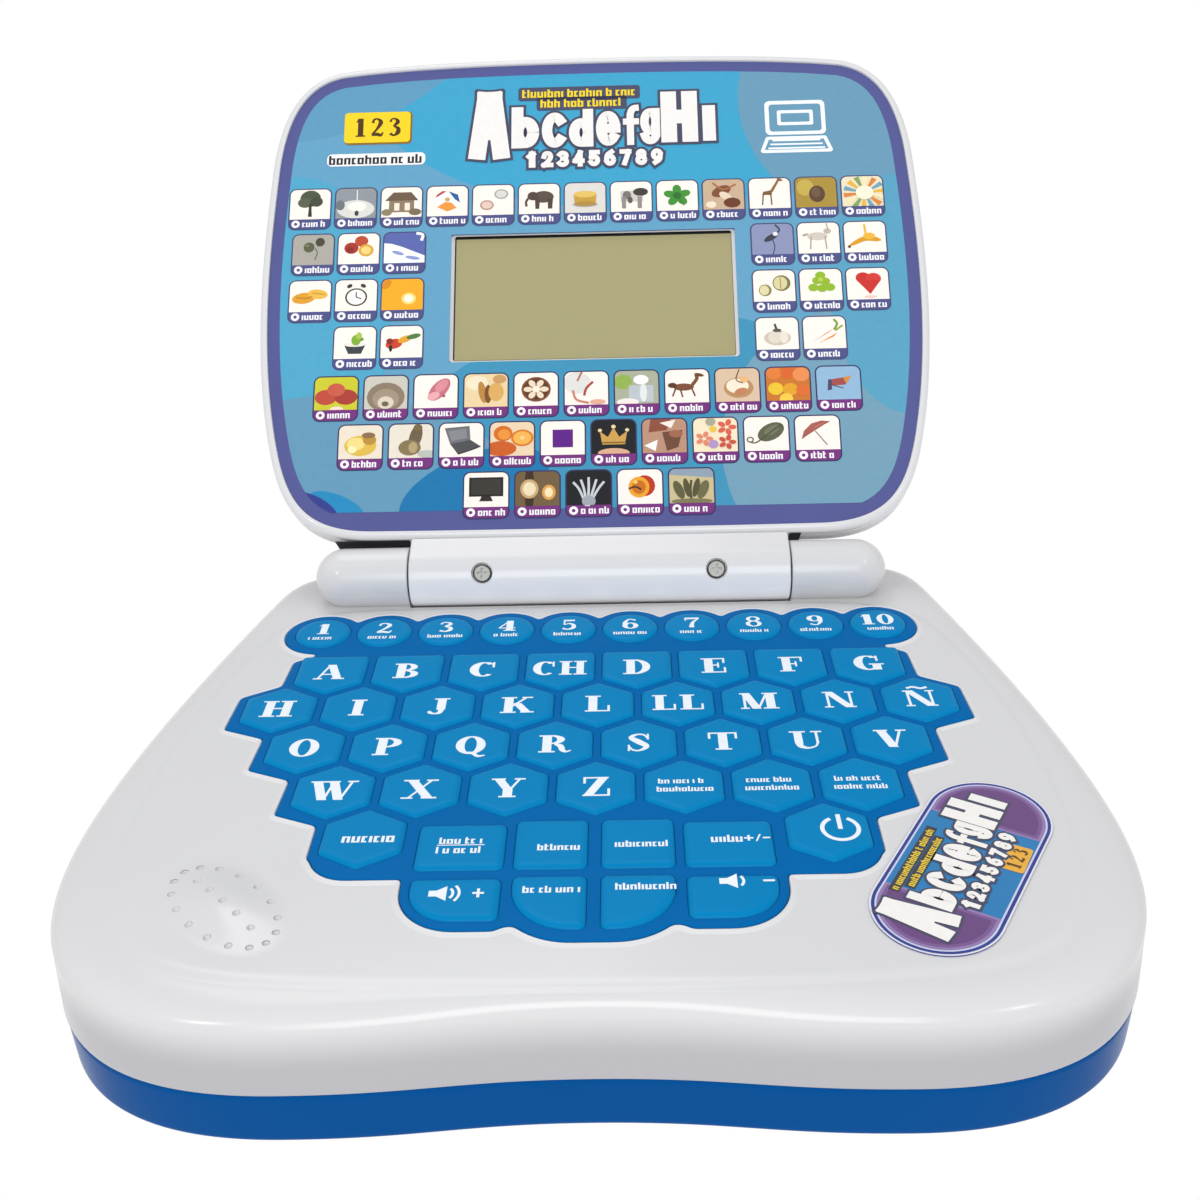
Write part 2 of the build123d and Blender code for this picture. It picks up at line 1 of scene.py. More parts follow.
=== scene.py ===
"""Looks of the toy laptop: smooth shells, soft keys with printed legends, and the printed lid label.

Lengths are in millimetres until a mesh is made. A "design" Y has its zero near the first row of letter
keys; SHIFT brings it into the frame. The lid's own frame has X right, Y up the lid from the hinge axis and
Z out of its face.
"""

import json
import math

import bmesh
import bpy
import numpy as np
from mathutils import Matrix, Vector


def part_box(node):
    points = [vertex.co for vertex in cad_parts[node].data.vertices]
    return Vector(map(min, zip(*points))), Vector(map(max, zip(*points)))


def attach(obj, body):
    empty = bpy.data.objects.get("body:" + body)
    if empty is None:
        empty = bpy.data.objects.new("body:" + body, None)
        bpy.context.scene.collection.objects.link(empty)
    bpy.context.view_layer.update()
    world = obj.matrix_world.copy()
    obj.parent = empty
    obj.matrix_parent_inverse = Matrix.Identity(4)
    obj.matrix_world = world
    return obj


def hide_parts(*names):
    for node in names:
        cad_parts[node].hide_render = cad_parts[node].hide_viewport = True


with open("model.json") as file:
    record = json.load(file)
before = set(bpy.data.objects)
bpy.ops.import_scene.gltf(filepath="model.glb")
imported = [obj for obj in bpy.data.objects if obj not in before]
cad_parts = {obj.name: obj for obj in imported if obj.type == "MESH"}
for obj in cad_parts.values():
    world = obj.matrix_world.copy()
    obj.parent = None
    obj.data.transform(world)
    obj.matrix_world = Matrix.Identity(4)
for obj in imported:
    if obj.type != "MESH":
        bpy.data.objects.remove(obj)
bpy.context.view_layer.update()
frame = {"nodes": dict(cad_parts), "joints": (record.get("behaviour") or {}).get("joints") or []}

MM = 0.001
HINGE = Vector(frame["joints"][0]["pos_m"]) / MM
SHIFT = HINGE.y - 43.0          # the hinge axis lies 43 mm behind the design's zero
DECK = HINGE.z - 6.0            # and 6 mm above the deck

# ---------------------------------------------------------------- camera
CAMERA_FROM_HINGE = Vector((8.43, -358.38, 181.74))
CAMERA_PITCH, CAMERA_YAW, CAMERA_ROLL = 27.97, 1.37, -1.69
LENS = 42.0

scene = bpy.context.scene
camera = bpy.data.objects.new("camera", bpy.data.cameras.new("camera"))
camera.data.lens = LENS
camera.data.sensor_width = 36.0
camera.data.clip_start = 0.01
camera.data.clip_end = 50.0
camera.matrix_world = (
    Matrix.Translation((HINGE + CAMERA_FROM_HINGE) * MM)
    @ Matrix.Rotation(math.radians(CAMERA_YAW), 4, "Z")
    @ Matrix.Rotation(math.radians(90 - CAMERA_PITCH), 4, "X")
    @ Matrix.Rotation(math.radians(CAMERA_ROLL), 4, "Z")
)
scene.collection.objects.link(camera)
scene.camera = camera
scene.view_settings.view_transform = "Standard"

# ---------------------------------------------------------------- driving dimensions
FOOT, PARTING, WALL_TOP = 1.0, 13.7, 29.2
PANEL_STEP = 0.5
SKIN = 2.2
KEY_TOP = DECK + 1.3
SHEET_TOP = DECK + 0.5
KEY_LIP = 0.7
BARREL_RADIUS, TROUGH_RADIUS = 8.5, 9.3
BARREL_HALF, BARREL_GAP, BARREL_END = 53.8, 0.5, 81.5
OPEN_TILT = 44.26
SCREW_X, SCREW_RISE = 33, 32.0  # place of the barrel's screws and how far they point above level
RECESS_RADIUS = 3.05
LABEL_PLANE, LIP, BEZEL = 3.9, 0.7, 2.4
LID_X = -1.0                    # the lid sits slightly left of its hinge's middle
LID_FACE = LABEL_PLANE - 0.35
LID_BACK, LID_SKIN = 7.5, 2.0
BAND_WIDTH = 3.7                # purple border of the lid's label
SCREEN_X, SCREEN_V = -0.8, 87.5
SCREEN_WIDTH, SCREEN_HEIGHT = 84.4, 41.7
SCREEN_SINK = 1.3
ART_STEP = 0.02                 # each printed layer lies this far above the one below

# Right halves, from the middle of the front to the middle of the back, as cubic Bezier curves.
WALL_OUTLINE = [
    [(0, -120.7), (27, -120.7), (34, -124.1), (61.3, -124.1)],
    [(61.3, -124.1), (103, -124.1), (115.7, -100.7), (115.7, -67.5)],
    [(115.7, -67.5), (115.7, -37.5), (104, 12), (95, 47)],
    [(95, 47), (92.5, 57), (90, 64), (78, 64)],
    [(78, 64), (50, 64), (25, 64), (0, 64)],
]
PANEL_OUTLINE = [
    [(0, -117.4), (25, -117.4), (45, -116.9), (60, -115.6)],
    [(60, -115.6), (93, -113.2), (104.5, -105), (104.5, -55)],
    [(104.5, -55), (104.5, -25), (99.5, 0), (92, 20)],
    [(92, 20), (88, 31), (78, 35.6), (60, 36)],
    [(60, 36), (40, 36), (20, 36), (0, 36)],
]
LID_OUTLINE = [
    [(0, 10.0), (25.3, 10.0), (45.5, 10.0), (64.7, 10.2)],
    [(64.7, 10.2), (86.9, 10.6), (92.5, 22), (96.6, 43)],
    [(96.6, 43), (101.9, 70), (101.7, 100), (99.4, 134.5)],
    [(99.4, 134.5), (97.6, 154.5), (91, 165.4), (78.9, 168)],
    [(78.9, 168), (60.7, 170.6), (30.3, 171.2), (0, 171.2)],
]
CURVE_STEPS = (20, 44, 44, 32, 20)

LID_FRAME = Matrix.Translation(HINGE) @ Matrix.Rotation(math.radians(90 - OPEN_TILT), 4, "X")
BASE_FRAME = Matrix.Translation((0, SHIFT, 0))


def moved(x, y, z=0.0):
    return Matrix.Translation((x, y, z))


# ---------------------------------------------------------------- outlines and meshes
def inset(curves, distance):
    """Outline a distance inside another: ends move inwards and handles keep their directions."""
    def unit(a, b):
        v = np.subtract(b, a).astype(float)
        return v / np.linalg.norm(v)
    leaving = [unit(c[0], c[1]) for c in curves]
    arriving = [unit(c[2], c[3]) for c in curves]
    ways = [np.array((1.0, 0.0))]
    ways += [(a + b) / np.linalg.norm(a + b) for a, b in zip(arriving, leaving[1:])]
    ways += [np.array((-1.0, 0.0))]
    ends = [np.array(p, float) for p in [curves[0][0]] + [c[3] for c in curves]]
    ends = [e + np.array((-w[1], w[0])) * distance for e, w in zip(ends, ways)]
    moved = []
    for curve, start, stop in zip(curves, ends, ends[1:]):
        p = [np.array(q, float) for q in curve]
        share = np.linalg.norm(stop - start) / np.linalg.norm(p[3] - p[0])
        moved.append([start, start + (p[1] - p[0]) * share, stop + (p[2] - p[3]) * share, stop])
    return moved


def sampled(curves, steps=CURVE_STEPS):
    """Closed loop of points on a right half outline and its mirror image, counterclockwise."""
    right = []
    for curve, count in zip(curves, steps):
        a, b, c, d = (np.array(p, float) for p in curve)
        for k in range(count):
            t = k / count
            right.append(a * (1 - t) ** 3 + 3 * b * t * (1 - t) ** 2 + 3 * c * t * t * (1 - t) + d * t ** 3)
    right.append(np.array(curves[-1][3], float))
    left = [np.array((-p[0], p[1])) for p in reversed(right[1:-1])]
    return np.array(right + left)


def ring(points, z, scale_x=1.0):
    points = np.asarray(points, float)
    return np.column_stack((points[:, 0] * scale_x, points[:, 1], np.full(len(points), float(z))))


def make(name, vertices, faces, matrix=None, smooth=35.0, materials=(), indices=None):
    """Object from points in millimetres, with outward normals and smooth shading up to an angle."""
    mesh = bpy.data.meshes.new(name)
    mesh.from_pydata([tuple(v) for v in vertices], [], [tuple(f) for f in faces])
    if matrix is not None:
        mesh.transform(matrix)
    mesh.transform(Matrix.Scale(MM, 4))
    if indices is not None:
        mesh.polygons.foreach_set("material_index", indices)
    obj = bpy.data.objects.new(name, mesh)
    for material in materials:
        mesh.materials.append(material)
    scene.collection.objects.link(obj)
    if smooth is not None:
        tidy(obj, smooth)
    return obj


def tidy(obj, angle=35.0, recalculate=True):
    if recalculate:
        work = bmesh.new()
        work.from_mesh(obj.data)
        bmesh.ops.recalc_face_normals(work, faces=work.faces)
        work.to_mesh(obj.data)
        work.free()
    obj.data.shade_smooth()
    obj.data.set_sharp_from_angle(angle=math.radians(angle))


def loft(name, rings, matrix=None, closed=False, **rest):
    """Solid through rings with the same number of points, capped unless the last ring joins the first."""
    count = len(rings[0])
    vertices = np.vstack(rings)
    faces = []
    spans = len(rings) if closed else len(rings) - 1
    for r in range(spans):
        low, high = r * count, (r + 1) % len(rings) * count
        for k in range(count):
            n = (k + 1) % count
            faces.append((low + k, low + n, high + n, high + k))
    if not closed:
        faces.append(tuple(reversed(range(count))))
        faces.append(tuple(range((len(rings) - 1) * count, len(rings) * count)))
    return make(name, vertices, faces, matrix, **rest)


def prism(name, points, z0, z1, matrix=None, **rest):
    return loft(name, [ring(points, z0), ring(points, z1)], matrix, **rest)


def circle(x, y, radius, count=48, radius_y=None, turn=0.0, start=0.0, stop=360.0):
    radius_y = radius if radius_y is None else radius_y
    closed = stop - start >= 360
    angles = np.radians(np.linspace(start, stop, count, endpoint=not closed))
    px, py = radius * np.cos(angles), radius_y * np.sin(angles)
    c, s = math.cos(math.radians(turn)), math.sin(math.radians(turn))
    return np.column_stack((x + px * c - py * s, y + px * s + py * c))


def box_points(x0, x1, y0, y1):
    return [(x0, y0), (x1, y0), (x1, y1), (x0, y1)]


def cross_cylinder(name, x0, x1, radius, matrix, count=96):
    """Cylinder along X about the origin of a frame."""
    loop = circle(0, 0, radius, count)
    rings = [np.column_stack((np.full(count, x), loop[:, 0], loop[:, 1])) for x in (x0, x1)]
    return loft(name, rings, matrix)


def carve(obj, cutter, operation="DIFFERENCE"):
    """Boolean with another object, which is used up."""
    modifier = obj.modifiers.new("carve", "BOOLEAN")
    modifier.operation = operation
    modifier.solver = "EXACT"
    modifier.object = cutter
    graph = bpy.context.evaluated_depsgraph_get()
    mesh = bpy.data.meshes.new_from_object(obj.evaluated_get(graph))
    obj.modifiers.clear()
    obj.data = mesh
    bpy.data.objects.remove(cutter)
    return obj


def joined(name, pieces):
    """One mesh from several objects, which are used up."""
    work = bmesh.new()
    for piece in pieces:
        piece.data.transform(piece.matrix_world)
        work.from_mesh(piece.data)
    mesh = bpy.data.meshes.new(name)
    work.to_mesh(mesh)
    work.free()
    obj = bpy.data.objects.new(name, mesh)
    scene.collection.objects.link(obj)
    for piece in pieces:
        bpy.data.objects.remove(piece)
    return obj


def rounded(corners, radii, shrink=0.0, steps=8):
    """Convex counterclockwise polygon with round corners, moved inwards by shrink."""
    corners = [np.array(c, float) for c in corners]
    count = len(corners)
    radii = [radii] * count if np.isscalar(radii) else radii
    points = []
    for k, here in enumerate(corners):
        before = corners[k - 1] - here
        after = corners[(k + 1) % count] - here
        before, after = before / np.linalg.norm(before), after / np.linalg.norm(after)
        middle = (before + after) / np.linalg.norm(before + after)
        half = math.acos(max(-1.0, min(1.0, float(np.dot(before, after))))) / 2
        radius = max(radii[k] - shrink, 0.02)
        centre = here + middle * (shrink + radius) / math.sin(half)
        first = math.atan2(before[0], -before[1])
        sweep = math.pi - 2 * half
        for s in range(steps + 1):
            angle = first + sweep * s / steps
            points.append(centre + radius * np.array((math.cos(angle), math.sin(angle))))
    return np.array(points)


# ---------------------------------------------------------------- materials
def hexed(code):
    """Linear colour from a #rrggbb code."""
    values = [int(code[k:k + 2], 16) / 255 for k in (1, 3, 5)]
    return [v / 12.92 if v <= 0.04045 else ((v + 0.055) / 1.055) ** 2.4 for v in values] + [1.0]


def material(name, code, roughness=0.3, specular=0.5, metallic=0.0, coat=0.0, mottle=0.03,
             mottle_scale=40.0, bump=0.0, bump_scale=600.0, wear=0.06, low=None):
    """Principled finish with a faint mottle in its colour, uneven gloss and, if asked for, a fine texture.

    low is a second colour with the heights in millimetres between which it gives way to the first one; it
    paints light and shade by height.
    """
    made = bpy.data.materials.new(name)
    made.use_nodes = True
    nodes, links = made.node_tree.nodes, made.node_tree.links
    shader = nodes["Principled BSDF"]
    shader.inputs["Metallic"].default_value = metallic
    shader.inputs["Specular IOR Level"].default_value = specular
    shader.inputs["Coat Weight"].default_value = coat
    shader.inputs["Coat Roughness"].default_value = 0.06
    place = nodes.new("ShaderNodeTexCoord")
    noise = nodes.new("ShaderNodeTexNoise")
    noise.inputs["Scale"].default_value = mottle_scale
    noise.inputs["Detail"].default_value = 4.0
    links.new(place.outputs["Object"], noise.inputs["Vector"])
    colour = hexed(code)
    mix = nodes.new("ShaderNodeMix")
    mix.data_type = "RGBA"
    mix.inputs["A"].default_value = [c * (1 - mottle) for c in colour[:3]] + [1.0]
    mix.inputs["B"].default_value = [min(1.0, c * (1 + mottle)) for c in colour[:3]] + [1.0]
    links.new(noise.outputs["Fac"], mix.inputs["Factor"])
    # Painted light and shade by height: the second colour gives way to the first between two heights.
    if low:
        painted_light_colour, from_z, to_z = low
        split = nodes.new("ShaderNodeSeparateXYZ")
        links.new(place.outputs["Object"], split.inputs["Vector"])
        fade = nodes.new("ShaderNodeMapRange")
        fade.interpolation_type = "SMOOTHSTEP"
        fade.inputs["From Min"].default_value = from_z * MM
        fade.inputs["From Max"].default_value = to_z * MM
        links.new(split.outputs["Z"], fade.inputs["Value"])
        shaded = nodes.new("ShaderNodeMix")
        shaded.data_type = "RGBA"
        shaded.inputs["A"].default_value = hexed(painted_light_colour)
        links.new(fade.outputs["Result"], shaded.inputs["Factor"])
        links.new(mix.outputs["Result"], shaded.inputs["B"])
        mix = shaded
    links.new(mix.outputs["Result"], shader.inputs["Base Color"])
    gloss = nodes.new("ShaderNodeMapRange")
    gloss.inputs["To Min"].default_value = max(0.02, roughness - wear)
    gloss.inputs["To Max"].default_value = roughness + wear
    links.new(noise.outputs["Fac"], gloss.inputs["Value"])
    links.new(gloss.outputs["Result"], shader.inputs["Roughness"])
    if bump:
        grain = nodes.new("ShaderNodeTexNoise")
        grain.inputs["Scale"].default_value = bump_scale
        grain.inputs["Detail"].default_value = 3.0
        links.new(place.outputs["Object"], grain.inputs["Vector"])
        relief = nodes.new("ShaderNodeBump")
        relief.inputs["Strength"].default_value = bump
        relief.inputs["Distance"].default_value = 0.0002
        links.new(grain.outputs["Fac"], relief.inputs["Height"])
        links.new(relief.outputs["Normal"], shader.inputs["Normal"])
    return made


SATIN = dict(roughness=0.22, specular=0.38, bump=0.04, bump_scale=250.0, mottle=0.01)
WHITE = material("white_plastic", "#d6d6d8", **SATIN)
# Painted shade: the base's walls turn darker grey downwards, from just over the wall's top to 6 mm above
# the parting line.
DECK_WHITE_PAINTED_SHADE = material("white_plastic_base_painted_shade", "#d0d0d1", low=("#acacb0", PARTING + 6, WALL_TOP + 3), **SATIN)
# Painted light: the lid's rear turns lighter below the hinge axis, brightening the underside of its barrel.
REAR_WHITE_PAINTED_LIGHT = material("white_plastic_rear_painted_light", "#d2d2d4", low=("#efeff1", HINGE.z - 4, HINGE.z + 7), **SATIN)
BLUE = material("blue_plastic", "#00498a", roughness=0.25, specular=0.04, bump=0.04, bump_scale=250.0,
                mottle=0.03)
SHEET = material("keypad_blue", "#0062a4", roughness=0.4, specular=0.03, bump=0.08, bump_scale=500.0)
KEY = material("key_blue", "#007db6", roughness=0.34, specular=0.05, bump=0.08, bump_scale=500.0)
# Painted shade: dark finish for the strips that stand in for the shadowed gap at the hinge.
PAINTED_GAP_SHADE = material("dark_gap", "#2b2c30", roughness=0.7, specular=0.2, bump=0.3, bump_scale=900.0)
STEEL = material("screw_steel", "#6f706d", roughness=0.34, metallic=1.0, bump=0.15, bump_scale=700.0)
BOARD = material("circuit_board", "#12602f", roughness=0.4, mottle=0.2, mottle_scale=300.0)
METAL = material("speaker_metal", "#3a3b3d", roughness=0.45, metallic=0.6, bump=0.2)
WRAP = material("battery_wrap", "#24262b", roughness=0.25, coat=0.4, mottle=0.1)
CONTACT = material("contact_metal", "#b9b8b0", roughness=0.3, metallic=1.0, bump=0.1)
GLASS = material("lcd_glass", "#a39c72", roughness=0.32, specular=0.3, coat=0.25, mottle=0.035,
                 mottle_scale=12.0)
LABEL = material("label_purple", "#50558f", roughness=0.16, specular=0.3, coat=0.2, mottle=0.05,
                 mottle_scale=60.0)

NODE_MATERIALS = {
    "keypad_sheet": SHEET, "main_board": BOARD, "speaker": METAL, "battery_cells": WRAP,
    "battery_contacts": CONTACT, "battery_door": BLUE, "battery_door_screw": STEEL, "case_screws": STEEL,
    "hinge_pins": STEEL, "hinge_screws": STEEL, "lcd_module": GLASS, "badge_label": LABEL,
    "lid_label": LABEL, "base_top_shell": WHITE, "base_bottom_shell": BLUE, "lid_front_shell": WHITE,
    "lid_rear_shell": WHITE,
}
for name, obj in frame["nodes"].items():
    obj.data.materials.clear()
    obj.data.materials.append(NODE_MATERIALS.get(name, KEY))


def settle(obj, body, slot, *nodes):
    """The piece moves with its body and may stand for CAD nodes; slot is not used."""
    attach(obj, body)
    if nodes:
        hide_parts(*nodes)


# ---------------------------------------------------------------- base
def pad_loops():
    """Closed loops around the CAD keypad's top face: its outline first, then its holes, in design Y."""
    mesh = frame["nodes"]["keypad_sheet"].data
    places = [(round(v.co.x / MM, 3), round(v.co.y / MM - SHIFT, 3),
               round(v.co.z / MM, 2)) for v in mesh.vertices]
    top = max(p[2] for p in places)
    sides = {}
    for polygon in mesh.polygons:
        corners = [places[v] for v in polygon.vertices]
        if all(abs(c[2] - top) < 0.01 for c in corners):
            for a, b in zip(corners, corners[1:] + corners[:1]):
                sides[(a, b)] = sides.get((a, b), 0) + 1
    following = {a: b for a, b in sides if (b, a) not in sides}
    loops = []
    while following:
        start, here = following.popitem()
        loop = [start]
        while here != start:
            loop.append(here)
            here = following.pop(here)
        loops.append(np.array([(p[0], p[1]) for p in loop]))
    return sorted(loops, key=lambda l: -np.ptp(l[:, 0]))


def resampled(points, step):
    """The same closed loop with points at even distances, its corners slightly softened."""
    closed = np.vstack((points, points[:1]))
    lengths = np.concatenate(([0], np.cumsum(np.linalg.norm(np.diff(closed, axis=0), axis=1))))
    count = int(lengths[-1] / step)
    at = np.linspace(0, lengths[-1], count, endpoint=False)
    return np.column_stack([np.interp(at, lengths, closed[:, k]) for k in (0, 1)])


def softened(points, rounds):
    for _ in range(rounds):
        points = (np.roll(points, 1, axis=0) + 2 * points + np.roll(points, -1, axis=0)) / 4
    return points


def moved_out(points, distance):
    """A finely sampled counterclockwise loop moved outwards along its normals."""
    ahead = np.roll(points, -1, axis=0) - np.roll(points, 1, axis=0)
    ahead /= np.linalg.norm(ahead, axis=1)[:, None]
    return points + np.column_stack((ahead[:, 1], -ahead[:, 0])) * distance


def counterclockwise(points):
    x, y = points[:, 0], points[:, 1]
    return points if np.sum(x * np.roll(y, -1) - y * np.roll(x, -1)) > 0 else points[::-1]


PAD = softened(resampled(counterclockwise(pad_loops()[0]), 0.4), 6)


def blend(inner, outer, share):
    return np.asarray(inner) + (np.asarray(outer) - np.asarray(inner)) * share


def base_top():
    wall, panel = sampled(WALL_OUTLINE), sampled(PANEL_OUTLINE)
    border = DECK - PANEL_STEP
    inner_wall, inner_panel = sampled(inset(WALL_OUTLINE, 2.6)), sampled(inset(PANEL_OUTLINE, SKIN))
    rings = [
        ring(inner_panel, DECK - SKIN), ring(inner_panel, WALL_TOP - 3), ring(inner_wall, WALL_TOP - 3),
        ring(inner_wall, PARTING), ring(sampled(inset(WALL_OUTLINE, 0.5)), PARTING, 1.008),
        ring(sampled(inset(WALL_OUTLINE, 0.12)), PARTING + 0.12, 1.008), ring(wall, PARTING + 0.5, 1.008),
    ]
    for k in range(1, 12):
        share = k / 12
        rings.append(ring(wall, PARTING + 0.5 + (WALL_TOP - PARTING - 0.5) * share, 1.008 - 0.008 * share))
    steps = 28
    for k in range(steps + 1):
        angle = math.radians(90 * k / steps)
        rings.append(ring(blend(panel, wall, math.cos(angle)),
                          WALL_TOP + (border - WALL_TOP) * math.sin(angle)))
    for distance, rise in ((0.5, 0.06), (1.0, 0.18), (1.6, 0.34), (2.2, 0.45), (2.9, 0.49), (3.6, 0.5)):
        rings.append(ring(sampled(inset(PANEL_OUTLINE, distance)), border + rise))
    shell = loft("base_top", rings, smooth=None)
    trough = cross_cylinder("trough", -BARREL_HALF - BARREL_GAP, BARREL_HALF + BARREL_GAP, TROUGH_RADIUS,
                            Matrix.Translation(HINGE - Vector((0, SHIFT, 0))))
    barrels = []
    for side in (-1, 1):
        barrels.append(barrel_end(side))
    for barrel in barrels:
        carve(shell, barrel, "UNION")
    carve(shell, trough)
    carve(shell, prism("pad", PAD, DECK - SKIN - 1, DECK + 2, smooth=None))
    return shell


def barrel_end(side):
    """One of the base's two barrels, in the design frame, with its soft rounded outer end."""
    inner = BARREL_HALF + BARREL_GAP
    profile = [(inner, BARREL_RADIUS - 0.25), (inner + 0.25, BARREL_RADIUS)]
    straight = BARREL_END - BARREL_RADIUS
    profile += [(straight + BARREL_RADIUS * math.sin(a), BARREL_RADIUS * math.cos(a))
                for a in np.radians(np.linspace(0, 88, 24))]
    centre = HINGE - Vector((0, SHIFT, 0))
    loop = circle(0, 0, 1.0, 96)
    rings = [np.column_stack((np.full(96, side * x), centre.y + loop[:, 0] * r, centre.z + loop[:, 1] * r))
             for x, r in profile]
    return loft("barrel", rings, smooth=None)


SPEAKER_X, SPEAKER_Y, SPEAKER_TURN = -75.7, -92.7, -45.0
DOME_LENGTH, DOME_WIDTH, DOME_RISE = 18.4, 10.9, 1.75
HOLE_RADIUS, HOLE_DEPTH = 0.85, 0.6


def turned(points, x, y, degrees):
    c, s = math.cos(math.radians(degrees)), math.sin(math.radians(degrees))
    points = np.asarray(points, float)
    return np.column_stack((x + points[:, 0] * c - points[:, 1] * s,
                            y + points[:, 0] * s + points[:, 1] * c))


def speaker_spots():
    """Oval ring of sixteen holes and a slanting row of five, in the design frame."""
    spots = list(circle(0, 0, 15.8, 16, radius_y=8.0)) + [(5.2 * k, 0.0) for k in range(-2, 3)]
    return turned(spots, SPEAKER_X, SPEAKER_Y, SPEAKER_TURN)


def dome_height(share):
    return DOME_RISE * (1 - share ** 2) ** 2


def speaker_dome():
    """Low oval swelling over the speaker that runs out flat into the deck."""
    rings = [ring(turned(circle(0, 0, DOME_LENGTH, 96, DOME_WIDTH), SPEAKER_X, SPEAKER_Y, SPEAKER_TURN),
                  DECK - 1)]
    for share in np.linspace(1.0, 0.06, 24):
        loop = circle(0, 0, DOME_LENGTH * share, 96, DOME_WIDTH * share)
        rings.append(ring(turned(loop, SPEAKER_X, SPEAKER_Y, SPEAKER_TURN),
                          DECK + 0.01 + dome_height(share)))
    return loft("dome", rings, smooth=None)


def cut_speaker(obj, deeper=0.0):
    """Shallow round dimples; the deck under the dome is cut deeper, clear of the dome's own."""
    rods = []
    for x, y in speaker_spots():
        along, across = turned([(x - SPEAKER_X, y - SPEAKER_Y)], 0, 0, -SPEAKER_TURN)[0]
        share = min(1.0, math.hypot(along / DOME_LENGTH, across / DOME_WIDTH))
        bottom = DECK + dome_height(share) - HOLE_DEPTH - deeper
        rods.append(loft("hole", [ring(circle(x, y, HOLE_RADIUS * 0.6, 24), bottom),
                                  ring(circle(x, y, HOLE_RADIUS, 24), bottom + 0.3),
                                  ring(circle(x, y, HOLE_RADIUS, 24), DECK + 5)], smooth=None))
    carve(obj, joined("holes", rods))


CASE_SCREWS = [(-82, 50), (82, 50), (-101, -30), (101, -30), (-50, -108), (50, -108)]
BAY_LENGTH, BAY_WIDTH, BAY_Y, BAY_TOP = 62.0, 47.0, -25.0, 19.0
DOOR_SCREW_Y = BAY_Y + BAY_WIDTH / 2 + 6


def post(x, y, z0, z1, radius, count=32):
    return prism("post", circle(x, y, radius, count), z0, z1, smooth=None)


def base_bottom():
    """Blue tub with a soft lower edge, the battery bay with its ledge, screw wells and four feet."""
    edge = 1.6
    rings = [
        ring(sampled(inset(WALL_OUTLINE, 3.2)), FOOT + 2.4), ring(sampled(inset(WALL_OUTLINE, 2.2)),
                                                                  PARTING - 0.2),
        ring(sampled(inset(WALL_OUTLINE, 0.9)), PARTING - 0.05, 1.008),
        ring(sampled(inset(WALL_OUTLINE, 0.45)), PARTING - 0.15, 1.008),
        ring(sampled(inset(WALL_OUTLINE, 0.2)), PARTING - 0.5, 1.008),
    ]
    for k in range(1, 9):
        share = k / 9
        rings.append(ring(sampled(inset(WALL_OUTLINE, 0.2 - 0.2 * share)),
                          PARTING - 0.5 + (FOOT + edge - PARTING + 0.5) * share, 1.008 - 0.004 * share))
    for angle in np.radians(np.linspace(0, 90, 9)):
        rings.append(ring(sampled(inset(WALL_OUTLINE, edge * (1 - math.cos(angle)))),
                          FOOT + edge * (1 - math.sin(angle)), 1.004))
    tub = loft("base_bottom", rings, smooth=None)
    x, front, back = BAY_LENGTH / 2, BAY_Y - BAY_WIDTH / 2, BAY_Y + BAY_WIDTH / 2
    carve(tub, prism("bay", box_points(-x - 2, x + 2, front - 2, back + 2), FOOT + 1, BAY_TOP + 1.6,
                     smooth=None), "UNION")
    carve(tub, prism("boss", box_points(-7, 7, back, back + 11), FOOT + 1, 12, smooth=None), "UNION")
    door = [(-x - 1.5, front - 1.5), (x + 1.5, front - 1.5), (x + 1.5, back + 1.5), (6, back + 1.5),
            (6, DOOR_SCREW_Y + 4), (-6, DOOR_SCREW_Y + 4), (-6, back + 1.5), (-x - 1.5, back + 1.5)]
    carve(tub, prism("door", door, FOOT - 1, FOOT + 2, smooth=None))
    carve(tub, prism("cell", box_points(-x, x, front, back), FOOT, BAY_TOP, smooth=None))
    wells = [post(sx, sy, FOOT - 1, FOOT + 4, 2.95) for sx, sy in CASE_SCREWS]
    carve(tub, joined("wells", wells))
    feet = joined("feet", [
        loft("foot", [ring(circle(fx, fy, r, 40), z) for r, z in ((6, FOOT + 0.5), (6, 0.5), (5.85, 0.15),
                                                                  (5.5, 0))],
             smooth=None)
        for fx in (-78, 78) for fy in (-96, 46)])
    return joined("base_bottom", [tub, feet])


# ---------------------------------------------------------------- keys
HEX_APOTHEM = 9.1
CORNER = 1.6                    # rounding of a key's corners
BIG_CORNERS = {"key_volume_up": 9.5, "key_volume_down": 9.5, "key_spelling": 12.6, "key_quiz": 12.6}
LIP_BOTTOM, LIP_TOP = KEY_TOP - 5.3, KEY_TOP - 4.6
# Shrink and rise of the loops that make the soft edge of a key's top.
FACE_EDGE = ((0.0, -3.0), (0.0, -1.0), (0.06, -0.8), (0.2, -0.58), (0.45, -0.36), (0.8, -0.18),
             (1.2, -0.07), (1.7, -0.01), (2.1, 0.0))


def cap(name, corners, radii):
    """Key cap with a wide soft edge, and its lip below the sheet."""
    rings = [ring(rounded(corners, radii, -0.6), LIP_BOTTOM), ring(rounded(corners, radii, -0.6), LIP_TOP),
             ring(rounded(corners, radii), LIP_TOP)]
    rings += [ring(rounded(corners, radii, shrink), KEY_TOP + rise) for shrink, rise in FACE_EDGE]
    return loft(name, rings, BASE_FRAME, smooth=50.0, materials=[KEY])


def hexagon(x, y, apothem=HEX_APOTHEM):
    reach = apothem / math.cos(math.radians(30))
    return [(x + reach * math.cos(a), y + reach * math.sin(a)) for a in np.radians(np.arange(-90, 270, 60))]


FIRST_ROW = ["key_" + name for name in "a b c ch d e f g".split()]
FLAT_BACK = 8.2                 # the first row is cut off flat this far behind the middle of its keys


